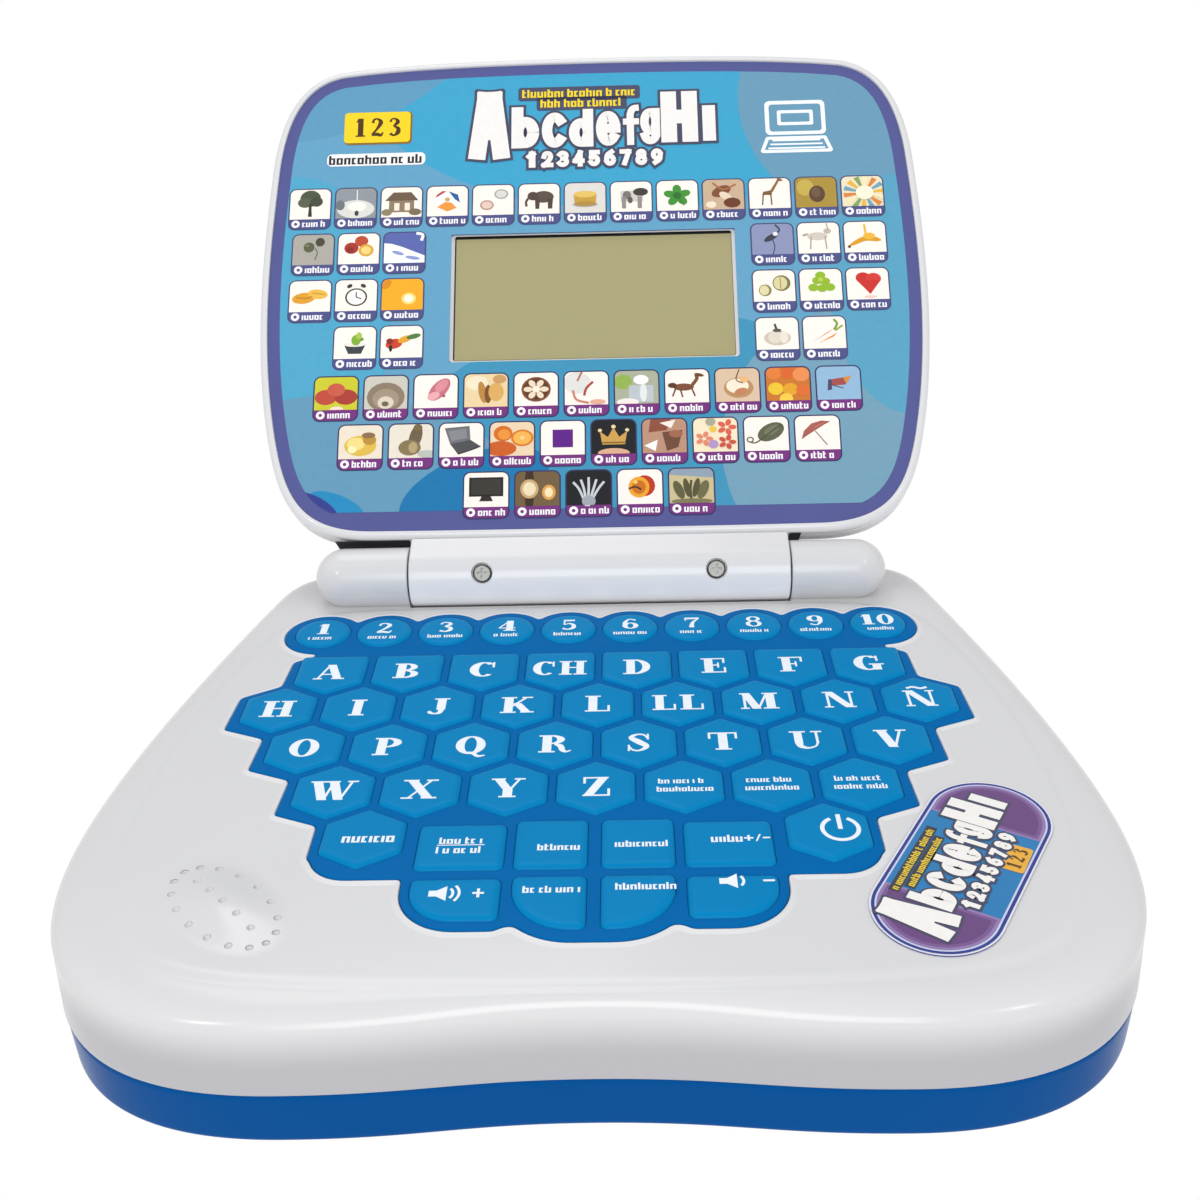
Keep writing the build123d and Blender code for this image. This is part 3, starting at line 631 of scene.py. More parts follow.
def key_centre(node):
    low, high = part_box(node)
    if node in FIRST_ROW:
        return (low.x + high.x) / 2 / MM, high.y / MM - SHIFT - KEY_LIP - FLAT_BACK
    return (low.x + high.x) / 2 / MM, (low.y + high.y) / 2 / MM - SHIFT


def panel_corners(node):
    """Corners and radii of one of the rectangular keys; the big radius faces the front and the outside."""
    low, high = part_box(node)
    x0, x1 = low.x / MM + KEY_LIP - 0.1, high.x / MM - KEY_LIP + 0.1
    y0, y1 = low.y / MM - SHIFT + KEY_LIP - 0.1, high.y / MM - SHIFT - KEY_LIP + 0.1
    big = BIG_CORNERS.get(node, CORNER)
    radii = [big, CORNER, CORNER, CORNER] if x0 + x1 < 0 else [CORNER, big, CORNER, CORNER]
    return box_points(x0, x1, y0, y1), radii


def key_corners(node):
    """Corners and radii of any key with its own body."""
    if node in PANEL_KEYS:
        return panel_corners(node)
    x, y = key_centre(node)
    corners = hexagon(x, y)
    if node in FIRST_ROW:
        back = y + FLAT_BACK + 0.15
        corners = corners[:2] + [(x + HEX_APOTHEM, back), (x - HEX_APOTHEM, back)] + corners[5:]
    return corners, CORNER


PANEL_KEYS = ("key_language", "key_letters", "key_words", "key_ask",
              "key_volume_up", "key_spelling", "key_quiz", "key_volume_down")
NUMBER_X = [(k - 4.5) * 16.9 for k in range(10)]
NUMBER_Y = key_centre("number_keys")[1]
NUMBER_RADIUS = 7.6


def number_caps():
    """The ten round number keys as one piece."""
    caps = []
    for x in NUMBER_X:
        rings = [ring(circle(x, NUMBER_Y, NUMBER_RADIUS + 0.6, 64), z) for z in (LIP_BOTTOM, LIP_TOP)]
        rings.append(ring(circle(x, NUMBER_Y, NUMBER_RADIUS, 64), LIP_TOP))
        rings += [ring(circle(x, NUMBER_Y, NUMBER_RADIUS - shrink, 64), KEY_TOP + rise)
                  for shrink, rise in FACE_EDGE]
        caps.append(loft("cap", rings, BASE_FRAME, smooth=None))
    numbers = joined("cap_numbers", caps)
    numbers.data.materials.append(KEY)
    tidy(numbers, 50)
    return numbers


def keypad_sheet():
    """Sheet with a rounded rim along the keypad's outline and an opening for every key."""
    rings = [ring(moved_out(PAD, -0.15), DECK - SKIN), ring(moved_out(PAD, -0.15), SHEET_TOP - 0.35)]
    rings += [ring(softened(moved_out(PAD, -d), 2), SHEET_TOP - drop)
              for d, drop in ((0.22, 0.17), (0.4, 0.05), (0.65, 0.0))]
    sheet = loft("keypad", rings, smooth=None)
    holes = []
    for node in frame["nodes"]:
        if node.startswith("key_"):
            corners, radii = key_corners(node)
            holes.append(prism("opening", rounded(corners, radii, -0.06), DECK - SKIN - 1, SHEET_TOP + 1,
                               smooth=None))
    for x in NUMBER_X:
        hole = circle(x, NUMBER_Y, NUMBER_RADIUS + 0.06, 64)
        holes.append(prism("opening", hole, DECK - SKIN - 1, SHEET_TOP + 1, smooth=None))
    carve(sheet, joined("openings", holes))
    return sheet


# ---------------------------------------------------------------- flat artwork
class Art:
    """Printed shapes in one plane, each a little above the one before, with an ink by colour code."""

    inks = {}

    def __init__(self):
        self.vertices, self.faces, self.codes, self.used = [], [], [], []
        self.level = 1

    def ink(self, code):
        if code not in Art.inks:
            Art.inks[code] = material("ink_" + code[1:], code, roughness=0.2, specular=0.3, coat=0.15,
                                      mottle=0.05,
                                      mottle_scale=500.0)
        if code not in self.used:
            self.used.append(code)
        return self.used.index(code)

    def fill(self, code, points):
        base = len(self.vertices)
        self.vertices += [(p[0], p[1], self.level * ART_STEP) for p in points]
        self.faces.append(tuple(range(base, base + len(points))))
        self.codes.append(self.ink(code))

    def strip(self, code, outer, inner, closed=False):
        """Band between two lines with the same number of points."""
        base, count = len(self.vertices), len(outer)
        self.vertices += [(p[0], p[1], self.level * ART_STEP) for p in list(outer) + list(inner)]
        for k in range(count if closed else count - 1):
            n = (k + 1) % count
            self.faces.append((base + k, base + n, base + count + n, base + count + k))
            self.codes.append(self.ink(code))

    def line(self, code, points, width):
        """Stroke of one width, or of a width for each point."""
        points = np.asarray(points, float)
        ahead = np.gradient(points, axis=0)
        ahead /= np.linalg.norm(ahead, axis=1)[:, None]
        side = np.column_stack((-ahead[:, 1], ahead[:, 0])) * (np.asarray(width, float) / 2).reshape(-1, 1)
        self.strip(code, points + side, points - side)

    def lift(self, steps=1):
        self.level += steps
        return self

    def put(self, name, matrix):
        flipped = []
        for face in self.faces:
            p = [self.vertices[k] for k in face]
            area = sum(a[0] * b[1] - b[0] * a[1] for a, b in zip(p, p[1:] + p[:1]))
            flipped.append(face if area > 0 else tuple(reversed(face)))
        obj = make(name, self.vertices, flipped, matrix, smooth=None,
                   materials=[Art.inks[c] for c in self.used], indices=self.codes)
        return obj


def spline(points, steps=6):
    """Smooth line through points of any dimension (Catmull-Rom)."""
    p = np.array(points, float)
    p = np.vstack((2 * p[0] - p[1], p, 2 * p[-1] - p[-2]))
    out = []
    for k in range(1, len(p) - 2):
        for s in range(steps):
            t = s / steps
            out.append(0.5 * (2 * p[k] + (p[k + 1] - p[k - 1]) * t
                              + (2 * p[k - 1] - 5 * p[k] + 4 * p[k + 1] - p[k + 2]) * t * t
                              + (3 * p[k] - p[k - 1] - 3 * p[k + 1] + p[k + 2]) * t ** 3))
    out.append(p[-2])
    return np.array(out)


# ---------------------------------------------------------------- fat-face serif characters
THICK, HAIR = 0.26, 0.075


def bar(x0, x1, y0, y1):
    return box_points(x0, x1, y0, y1)


def stem(x, y0=0.0, y1=1.0, feet="bt"):
    """Thick upright with slab serifs at the bottom (b) and the top (t)."""
    parts = [bar(x - THICK / 2, x + THICK / 2, y0, y1)]
    if "b" in feet:
        parts.append(bar(x - THICK / 2 - 0.1, x + THICK / 2 + 0.1, y0, y0 + HAIR))
    if "t" in feet:
        parts.append(bar(x - THICK / 2 - 0.1, x + THICK / 2 + 0.1, y1 - HAIR, y1))
    return parts


def hairstem(x):
    return [bar(x - HAIR / 2, x + HAIR / 2, 0, 1), bar(x - 0.13, x + 0.13, 0, HAIR),
            bar(x - 0.13, x + 0.13, 1 - HAIR, 1)]


def diagonal(x0, y0, x1, y1, width):
    return [(x0 - width / 2, y0), (x0 + width / 2, y0), (x1 + width / 2, y1), (x1 - width / 2, y1)]


def bowl(x, y0, y1, reach, width=THICK, start=-90, stop=90):
    """Half ring with a thick side and hairline ends."""
    middle, half = (y0 + y1) / 2, (y1 - y0) / 2
    outer = circle(x, middle, reach, 25, half, start=start, stop=stop)
    inner = circle(x, middle, reach - width, 25, half - HAIR, start=start, stop=stop)
    return [("strip", outer, inner)]


def oval(x, y, reach, half, width=THICK):
    outer, inner = circle(x, y, reach, 40, half), circle(x, y, reach - width, 40, half - HAIR)
    return [("ring", outer, inner)]


def brush(*points):
    """Curved stroke through points of x, y and width."""
    line = spline(points)
    return [("line", line[:, :2], line[:, 2])]


def crescent(x, reach, start, stop):
    return [("strip", circle(x, 0.5, reach, 33, 0.5, start=start, stop=stop),
             circle(x + 0.02, 0.5, reach - THICK, 33, 0.5 - HAIR, start=start, stop=stop))]


def end_serif(x, y0, y1, width=0.07):
    return [[(x - width, y0), (x, y0), (x, y1), (x - width, y1)]]


FOOTED = {
    "A": (0.96, [diagonal(0.13, 0, 0.42, 1, HAIR), diagonal(0.76, 0, 0.46, 1, THICK),
                 bar(0.24, 0.64, 0.3, 0.3 + HAIR),
                 bar(0.0, 0.28, 0, HAIR), bar(0.56, 0.96, 0, HAIR)]),
    "B": (0.82, stem(0.24) + bowl(0.36, 0.5, 1, 0.36, 0.21) + bowl(0.36, 0, 0.54, 0.42, 0.23)
          + [bar(0.3, 0.38, 1 - HAIR, 1), bar(0.3, 0.38, 0.48, 0.48 + HAIR), bar(0.3, 0.38, 0, HAIR)]),
    "C": (0.84, crescent(0.42, 0.42, 48, 312) + end_serif(0.76, 0.62,
                                                          0.98) + [[(0.5, 0.97), (0.69, 0.8), (0.69, 0.9),
                                                                    (0.6, 0.99)]]),
    "D": (0.86, stem(0.24) + bowl(0.36, 0, 1, 0.48, 0.24) + [bar(0.3, 0.38, 1 - HAIR, 1),
                                                             bar(0.3, 0.38, 0, HAIR)]),
    "E": (0.8, stem(0.24) + [bar(0.3, 0.74, 1 - HAIR, 1), bar(0.3, 0.76, 0, HAIR),
                             bar(0.3, 0.54, 0.48, 0.48 + HAIR)]
          + end_serif(0.74, 0.66, 1) + end_serif(0.76, 0, 0.36) + end_serif(0.56, 0.34, 0.68, 0.06)),
    "F": (0.76, stem(0.24) + [bar(0.3, 0.74, 1 - HAIR, 1), bar(0.3, 0.54, 0.48, 0.48 + HAIR)]
          + end_serif(0.74, 0.66, 1) + end_serif(0.56, 0.34, 0.68, 0.06)),
    "G": (0.9, crescent(0.42, 0.42, 48, 300) + end_serif(0.76, 0.62, 0.98) + stem(0.68, 0.02, 0.44, "t")
          + [[(0.5, 0.97), (0.69, 0.8), (0.69, 0.9), (0.6, 0.99)]]),
    "H": (0.98, stem(0.22) + stem(0.74) + [bar(0.3, 0.66, 0.48, 0.48 + HAIR)]),
    "I": (0.46, stem(0.23)),
    "J": (0.62, stem(0.42, 0.28, 1, "t") + brush((0.44, 0.3, 0.2), (0.4, 0.1, 0.16), (0.26, 0.03, 0.08),
                                                 (0.12, 0.1, 0.14), (0.1, 0.2, 0.1))),
    "K": (0.96, stem(0.22) + [diagonal(0.3, 0.38, 0.76, 1, HAIR + 0.02),
                              diagonal(0.78, 0, 0.46, 0.6, THICK),
                              bar(0.6, 0.92, 1 - HAIR, 1), bar(0.58, 0.98, 0, HAIR)]),
    "L": (0.76, stem(0.24) + [bar(0.3, 0.74, 0, HAIR)] + end_serif(0.74, 0, 0.38)),
    "M": (1.14, hairstem(0.16) + stem(0.92) + [diagonal(0.5, 0, 0.2, 1, THICK),
                                               diagonal(0.54, 0.0, 0.84, 1, HAIR)]),
    "N": (0.98, hairstem(0.16) + hairstem(0.82) + [diagonal(0.76, 0, 0.2, 1, THICK)]),
    "O": (0.84, oval(0.42, 0.5, 0.42, 0.52, 0.25)),
    "P": (0.8, stem(0.24) + bowl(0.36, 0.44, 1, 0.42, 0.23) + [bar(0.3, 0.38, 1 - HAIR, 1),
                                                               bar(0.3, 0.38, 0.44, 0.44 + HAIR)]),
    "Q": (0.86, oval(0.42, 0.5, 0.42, 0.52, 0.25) + brush((0.36, 0.1, 0.05), (0.52, 0.02, 0.13),
                                                          (0.66, -0.14, 0.12), (0.86, -0.1, 0.05))),
    "R": (0.92, stem(0.24) + bowl(0.36, 0.48, 1, 0.38, 0.22) + [bar(0.3, 0.38, 1 - HAIR, 1),
                                                                bar(0.3, 0.4, 0.48, 0.48 + HAIR)]
          + brush((0.46, 0.48, 0.1), (0.62, 0.36, 0.2), (0.68, 0.14, 0.19), (0.78, 0.03, 0.1),
                  (0.92, 0.1, 0.05))),
    "S": (0.7, brush((0.6, 0.72, 0.05), (0.5, 0.93, 0.08), (0.3, 0.96, 0.09), (0.14, 0.78, 0.18),
                     (0.34, 0.54, 0.25),
                     (0.56, 0.27, 0.2), (0.38, 0.04, 0.09), (0.18, 0.07, 0.08), (0.08, 0.28, 0.05))
          + end_serif(0.64, 0.66, 0.99, 0.06) + end_serif(0.1, 0.01, 0.36, 0.06)),
    "T": (0.84, stem(0.42, feet="b") + [bar(0.03, 0.81, 1 - HAIR, 1)] + end_serif(0.08, 0.64,
            1) + end_serif(0.83, 0.64, 1)),
    "U": (0.96, [bar(0.12, 0.35, 0.3, 1), bar(0.0, 0.46, 1 - HAIR, 1), bar(0.72, 0.72 + HAIR, 0.3, 1),
                 bar(0.6, 0.92, 1 - HAIR, 1)]
          + brush((0.235, 0.32, THICK), (0.27, 0.13, 0.2), (0.46, 0.02, 0.1), (0.68, 0.12, 0.07),
                  (0.755, 0.32, HAIR))),
    "V": (0.94, [diagonal(0.46, 0, 0.2, 1, THICK), diagonal(0.5, 0, 0.76, 1, HAIR),
                 bar(0.0, 0.4, 1 - HAIR, 1),
                 bar(0.62, 0.92, 1 - HAIR, 1)]),
    "W": (1.3, [diagonal(0.42, 0, 0.18, 1, THICK), diagonal(0.46, 0, 0.62, 0.9, HAIR),
                diagonal(0.86, 0, 0.62, 1, THICK),
                diagonal(0.9, 0, 1.14, 1, HAIR), bar(0.0, 0.8, 1 - HAIR, 1), bar(1.0, 1.3, 1 - HAIR, 1)]),
    "X": (0.96, [diagonal(0.74, 0, 0.22, 1, THICK + 0.02), diagonal(0.17, 0, 0.78, 1, HAIR),
                 bar(0.0, 0.42, 1 - HAIR, 1),
                 bar(0.62, 0.94, 1 - HAIR, 1), bar(0.0, 0.32, 0, HAIR), bar(0.54, 0.96, 0, HAIR)]),
    "Y": (0.92, stem(0.46, 0, 0.46, "b") + [diagonal(0.46, 0.4, 0.18, 1, THICK),
                                            diagonal(0.53, 0.42, 0.78, 1, HAIR),
                                            bar(0.0, 0.38, 1 - HAIR, 1), bar(0.62, 0.92, 1 - HAIR, 1)]),
    "Z": (0.8, [bar(0.08, 0.74, 1 - HAIR, 1), diagonal(0.18, 0, 0.62, 1, THICK), bar(0.05, 0.76, 0, HAIR)]
          + end_serif(0.13, 0.66, 1) + end_serif(0.78, 0, 0.38)),
    "1": (0.5, stem(0.27, feet="b") + [[(0.04, 0.76), (0.18, 0.84), (0.18, 1), (0.14, 0.98)]]),
    "2": (0.64, brush((0.1, 0.74, 0.14), (0.16, 0.93, 0.1), (0.34, 0.95, 0.1), (0.48, 0.76, 0.22),
                      (0.3, 0.4, 0.12), (0.08, 0.12, 0.1))
          + brush((0.06, 0.08, 0.14), (0.3, 0.12, 0.18), (0.5, 0.06, 0.14), (0.6, 0.24, 0.05))),
    "3": (0.62, brush((0.1, 0.78, 0.12), (0.2, 0.95, 0.08), (0.38, 0.92, 0.12), (0.46, 0.76, 0.2),
                      (0.26, 0.54, 0.08))
          + brush((0.26, 0.55, 0.06), (0.48, 0.42, 0.18), (0.48, 0.2, 0.22), (0.3, 0.04, 0.1),
                  (0.1, 0.14, 0.16))),
    "4": (0.68, [diagonal(0.05, 0.3, 0.42, 1, HAIR), bar(0.04, 0.66, 0.24, 0.32)] + stem(0.44, 0, 1, "b")),
    "5": (0.62, [bar(0.12, 0.54, 0.86, 1), bar(0.12, 0.18, 0.5, 1)]
          + brush((0.14, 0.5, 0.05), (0.34, 0.62, 0.1), (0.5, 0.44, 0.2), (0.48, 0.18, 0.2),
                  (0.28, 0.04, 0.1), (0.1, 0.14, 0.16))),
    "6": (0.66, oval(0.34, 0.3, 0.3, 0.3, 0.19) + brush((0.14, 0.34, 0.2), (0.14, 0.62, 0.2),
                                                        (0.3, 0.94, 0.08), (0.54, 0.84, 0.12))),
    "7": (0.64, [bar(0.08, 0.6, 0.84, 1), bar(0.06, 0.11, 0.7, 1)] + brush((0.58, 0.9, 0.06),
            (0.36, 0.5, 0.16), (0.3, 0.02, 0.26))),
    "8": (0.66, oval(0.33, 0.76, 0.26, 0.25, 0.14) + oval(0.33, 0.28, 0.3, 0.29, 0.16)),
    "9": (0.66, oval(0.32, 0.7, 0.3, 0.3, 0.19) + brush((0.52, 0.66, 0.2), (0.52, 0.38, 0.2),
                                                        (0.36, 0.06, 0.08), (0.12, 0.16, 0.12))),
    "0": (0.66, oval(0.33, 0.5, 0.31, 0.52, 0.2)),
}


def write_text(art, code, text, x, y, size, wide=1.0):
    """Characters centred on a place; each part of a character sits a hair above the last."""
    gap = 0.1
    total = sum(FOOTED[c][0] for c in text) + gap * (len(text) - 1)
    at = x - total * size * wide / 2
    for character in text:
        width, parts = FOOTED[character]

        def place(points):
            return [(at + p[0] * size * wide, y + (p[1] - 0.5) * size) for p in points]
        for part in parts:
            art.lift(0.15)
            if isinstance(part, tuple) and part[0] == "strip":
                art.strip(code, place(part[1]), place(part[2]))
            elif isinstance(part, tuple) and part[0] == "ring":
                art.strip(code, place(part[1]), place(part[2]), closed=True)
            elif isinstance(part, tuple) and part[0] == "line":
                art.line(code, place(part[1]), np.asarray(part[2]) * size)
            else:
                art.fill(code, place(part))
        at += (width + gap) * size * wide


def greeked(art, code, x, y, width, height, seed):
    """A line of small letter-like marks in place of words: stems joined by an arch, a foot or both."""
    chance = np.random.default_rng(seed)
    low, pen = y - height / 2, height * 0.2
    at = x - width / 2
    while at < x + width / 2 - height * 0.4:
        tall = height * chance.choice((0.74, 0.74, 0.74, 1.0))
        body = height * 0.74
        kind = chance.integers(0, 5)
        art.fill(code, box_points(at, at + pen * 1.15, low, low + tall))
        if kind < 4:
            inner, outer = at + pen * 1.15, at + pen * 2.0
            if kind != 1:
                art.fill(code, box_points(inner, outer, low + body - pen * 0.8, low + body))
            if kind != 0:
                art.fill(code, box_points(inner, outer, low, low + pen * 0.8))
            if kind != 2:
                art.fill(code, box_points(outer, outer + pen * 1.1, low, low + body))
            at = outer + pen * (1.1 if kind != 2 else 0.2)
        else:
            at += pen * 1.15
        at += pen * (2.2 if chance.random() < 0.12 else 0.62)


WHITE_INK = "#e6edf4"


def key_art():
    """Legends by key body: characters, small marks in place of words, and pictograms."""
    arts = {}
    named = {"key_ch": "CH", "key_ll": "LL", "key_n_tilde": "N"}
    for node in frame["nodes"]:
        if not node.startswith("key_") or node in PANEL_KEYS:
            continue
        x, y = key_centre(node)
        text = named.get(node, node[4:].upper())
        art = arts[node] = Art()
        if len(text) > 2:
            continue
        size = 7.3 if len(text) == 1 else 6.9
        write_text(art, WHITE_INK, text, x, y - 0.5, size, 1.16 if text != "CH" else 1.06)
        if node == "key_n_tilde":
            art.line(WHITE_INK, spline([(x - 2.6, y + 4.2), (x - 1.0, y + 4.8), (x + 1.0, y + 4.1),
                                        (x + 2.6, y + 4.7)]), 0.8)
    for seed, node in enumerate(("key_word_test", "key_spelling_test", "key_missing_letter")):
        x, y = key_centre(node)
        greeked(arts[node], WHITE_INK, x - 0.6, y + 1.2, 10.5, 1.9, seed)
        greeked(arts[node], WHITE_INK, x, y - 1.9, 12.5, 1.9, seed + 7)
    greeked(arts["key_demo"], WHITE_INK, -48.6, -72.4, 12.4, 2.9, 34)
    power = arts["key_power"]
    power.line(WHITE_INK, circle(53, -71.4, 3.9, 40, start=118, stop=422), 0.95)
    power.lift(0.3).fill(WHITE_INK, box_points(52.5, 53.5, -71.6, -66.4))
    words = {"key_letters": (-7.5, -76.4, 9.5), "key_words": (10.3, -75.6, 12.0),
             "key_spelling": (-8.4, -90.2, 12.4), "key_quiz": (10.6, -89.6, 12.4)}
    for seed, (node, (x, y, width)) in enumerate(words.items()):
        arts[node] = Art()
        greeked(arts[node], WHITE_INK, x, y, width, 2.1, seed + 50)
    language = arts["key_language"] = Art()
    greeked(language, WHITE_INK, -28.6, -73.7, 9.8, 2.2, 71)
    greeked(language, WHITE_INK, -28.8, -76.9, 10.2, 2.2, 72)
    language.lift(0.3).fill(WHITE_INK, box_points(-33.8, -23.6, -75.4, -75.1))
    ask = arts["key_ask"] = Art()
    greeked(ask, WHITE_INK, 28.2, -74.3, 6.6, 2.4, 91)
    ask.lift(0.3).fill(WHITE_INK, box_points(32.0, 34.0, -74.5, -74.0))
    ask.lift(0.3).fill(WHITE_INK, box_points(32.75, 33.25, -75.2, -73.3))
    ask.lift(0.3).fill(WHITE_INK, [(34.4, -75.4), (34.8, -75.4), (35.7, -73.0), (35.3, -73.0)])
    ask.lift(0.3).fill(WHITE_INK, box_points(36.0, 37.6, -74.5, -74.0))
    for node, x, y, waves, plus in (("key_volume_up", -30.6, -91.1, 2, True),
                                    ("key_volume_down", 29.0, -88.4, 1, False)):
        art = arts[node] = Art()
        art.fill(WHITE_INK, box_points(x - 3.2, x - 1.4, y - 0.9, y + 0.9))
        art.lift(0.3).fill(WHITE_INK, [(x - 1.6, y - 0.9), (x + 0.5, y - 2.3), (x + 0.5, y + 2.3),
                                       (x - 1.6, y + 0.9)])
        for k in range(waves):
            art.lift(0.3).line(WHITE_INK, circle(x - 0.4, y, 2.2 + 1.3 * k, 16, start=-42, stop=42), 0.6)
        at = x + 7.0
        art.lift(0.3).fill(WHITE_INK, box_points(at - 1.2, at + 1.2, y - 0.3, y + 0.3))
        if plus:
            art.lift(0.3).fill(WHITE_INK, box_points(at - 0.3, at + 0.3, y - 1.4, y + 1.4))
    numbers = arts["number_keys"] = Art()
    for k, x in enumerate(NUMBER_X):
        write_text(numbers, WHITE_INK, str(k + 1), x, NUMBER_Y + 1.4, 5.6, 1.3)
        numbers.level = 1
        greeked(numbers, WHITE_INK, x, NUMBER_Y - 3.5, 6.8 + 1.2 * (k % 3), 1.8, 120 + k)
    return arts


# ---------------------------------------------------------------- lid
def placed(obj, matrix, angle=35.0, materials=()):
    """A finished mesh goes from its own frame to its place, with its finish."""
    metric = matrix.copy()
    metric.translation = matrix.translation * MM
    obj.data.transform(metric)
    obj.data.materials.clear()
    for finish in materials:
        obj.data.materials.append(finish)
    tidy(obj, angle)
    return obj


# The label's opening: its back edge hides the upper bevel of the window.
WINDOW = (SCREEN_X - SCREEN_WIDTH / 2 - 1.1, SCREEN_X + SCREEN_WIDTH / 2 + 1.1,
          SCREEN_V - SCREEN_HEIGHT / 2 - 1.1, SCREEN_V + SCREEN_HEIGHT / 2 + 0.1)


def lid_loop(distance):
    return sampled(inset(LID_OUTLINE, distance) if distance else LID_OUTLINE) + (LID_X, 0)


def screen_points(grow, radius=0.8):
    x, y = SCREEN_WIDTH / 2 + grow, SCREEN_HEIGHT / 2 + grow
    return rounded(box_points(SCREEN_X - x, SCREEN_X + x, SCREEN_V - y, SCREEN_V + y), radius)


def lid_front():
    """Front half of the lid: soft rim, bezel around the label's recess, and the bevelled window."""
    top, radius = LABEL_PLANE + LIP, 1.9
    rings = [ring(lid_loop(BEZEL), LID_FACE - LID_SKIN), ring(lid_loop(BEZEL), 0), ring(lid_loop(0.25), 0),
             ring(lid_loop(0.08), 0.08), ring(lid_loop(0), 0.3)]
    for angle in np.radians(np.linspace(0, 90, 15)):
        rings.append(ring(lid_loop(radius * (1 - math.cos(angle))), top - radius * (1 - math.sin(angle))))
    rings += [ring(lid_loop(BEZEL - 0.25), top), ring(lid_loop(BEZEL - 0.1), top - 0.06),
              ring(lid_loop(BEZEL), top - 0.25), ring(lid_loop(BEZEL), LID_FACE)]
    shell = loft("lid_front", rings, smooth=None)
    sink = LABEL_PLANE - SCREEN_SINK
    carve(shell, loft("window", [ring(screen_points(0.15), -1), ring(screen_points(0.15), sink),
                                 ring(screen_points(1.1, 1.2), LID_FACE + 0.01),
                                 ring(screen_points(1.1, 1.2), LID_FACE + 1)], smooth=None))
    carve(shell, prism("neck", box_points(-BARREL_HALF, BARREL_HALF, 0, 12), -LID_BACK,
                       LID_FACE - LID_SKIN - 0.3, smooth=None))
    return shell


def neck_section():
    """Cross-section (v, w) of the lid's barrel and the neck that runs from it into the lid."""
    front = (10.05, 4.25)
    around = [(BARREL_RADIUS * math.sin(a), BARREL_RADIUS * math.cos(a))
              for a in np.radians(np.linspace(28, -188, 110))]
    low, high = 0.5 - LID_BACK, LID_FACE - LID_SKIN - 0.3
    return np.array(around + [(10.0, low), (12.0, low), (12.0, high), (10.05, high), front])


def lid_rear():
    """Rear half of the lid with its neck, barrel and the two screw recesses."""
    radius = 5.0
    rings = [ring(lid_loop(BEZEL), LID_SKIN - LID_BACK), ring(lid_loop(BEZEL), 0), ring(lid_loop(0.25), 0),
             ring(lid_loop(0.08), -0.08), ring(lid_loop(0), -0.3)]
    for angle in np.radians(np.linspace(0, 90, 18)):
        inwards, rise = radius * (1 - math.cos(angle)), radius * (1 - math.sin(angle))
        rings.append(ring(lid_loop(inwards), rise - LID_BACK))
    rings.append(ring(lid_loop(radius + 1.5), -LID_BACK))
    shell = loft("lid_rear", rings, smooth=None)
    section, spans = neck_section(), []
    for x, share in ((-BARREL_HALF, 0.97), (0.3 - BARREL_HALF, 1.0),
                     (BARREL_HALF - 0.3, 1.0), (BARREL_HALF, 0.97)):
        spans.append(np.column_stack((np.full(len(section), x), section * share)))
    carve(shell, loft("neck", spans, smooth=None), "UNION")
    for x in (-SCREW_X, SCREW_X):
        towards = moved(x, 0) @ Matrix.Rotation(math.radians(OPEN_TILT - SCREW_RISE), 4, "X")
        hole = circle(0, 0, RECESS_RADIUS, 40)
        carve(shell, prism("recess", hole, BARREL_RADIUS - 2.0, BARREL_RADIUS + 2, towards, smooth=None))
    return shell


def lid_sheet():
    sheet = prism("lid_print", lid_loop(BEZEL + 0.1), LID_FACE, LABEL_PLANE, smooth=None)
    return carve(sheet, prism("window", rounded(box_points(*WINDOW), 1.0), LID_FACE - 1, LABEL_PLANE + 1,
                              smooth=None))


def screen_mask():
    """Painted shade at the screen's edges: a narrow dark strip on the left and the painted shadow of the
    window's back edge.
    """
    left, right, low, high = WINDOW
    mask = Art()
    mask.fill("#23241f", box_points(left + 1.0, left + 1.4, low + 1.4, high))
    mask.lift(0.5).fill("#141513", box_points(left + 1.0, right - 1.0, high - 1.0, high))
    return mask


# ---------------------------------------------------------------- lid artwork
def clipped(points, nx, ny, limit):
    """Part of a polygon where nx*x + ny*y is at most the limit."""
    kept = []
    for a, b in zip(points, list(points[1:]) + list(points[:1])):
        da, db = nx * a[0] + ny * a[1] - limit, nx * b[0] + ny * b[1] - limit
        if da <= 0:
            kept.append((a[0], a[1]))
        if da * db < 0:
            t = da / (da - db)
            kept.append((a[0] + (b[0] - a[0]) * t, a[1] + (b[1] - a[1]) * t))
    return kept


def within(points, outline):
    for a, b in zip(outline, np.roll(outline, -1, axis=0)):
        nx, ny = b[1] - a[1], a[0] - b[0]
        points = clipped(points, nx, ny, nx * a[0] + ny * a[1])
        if len(points) < 3:
            return []
    return points


def fill_field(art, code, points, outline):
    """A colour area of the label, kept inside an outline and off the screen's opening."""
    points = within(list(points), outline)
    left, right, low, high = WINDOW
    middle = clipped(clipped(points, 1, 0, right), -1, 0, -left)
    for part in (clipped(points, 1, 0, left), clipped(points, -1, 0, -right),
                 clipped(middle, 0, -1, -high), clipped(middle, 0, 1, low)):
        if len(part) > 2:
            art.fill(code, part)


# Shapes of a picture: E an ellipse, P a polygon, B a box, L a line with a width and R a ring.
def E(code, x, y, rx, ry=None, turn=0):
    return ("fill", code, circle(x, y, rx, 18, rx if ry is None else ry, turn=turn))


def P(code, *points):
    return ("fill", code, points)


def B(code, x0, y0, x1, y1):
    return P(code, (x0, y0), (x1, y0), (x1, y1), (x0, y1))


def L(code, width, *points):
    return ("line", code, spline(points, 4), width)


def R(code, x, y, radius, width):
    return ("ring", code, circle(x, y, radius, 20), circle(x, y, radius - width, 20))


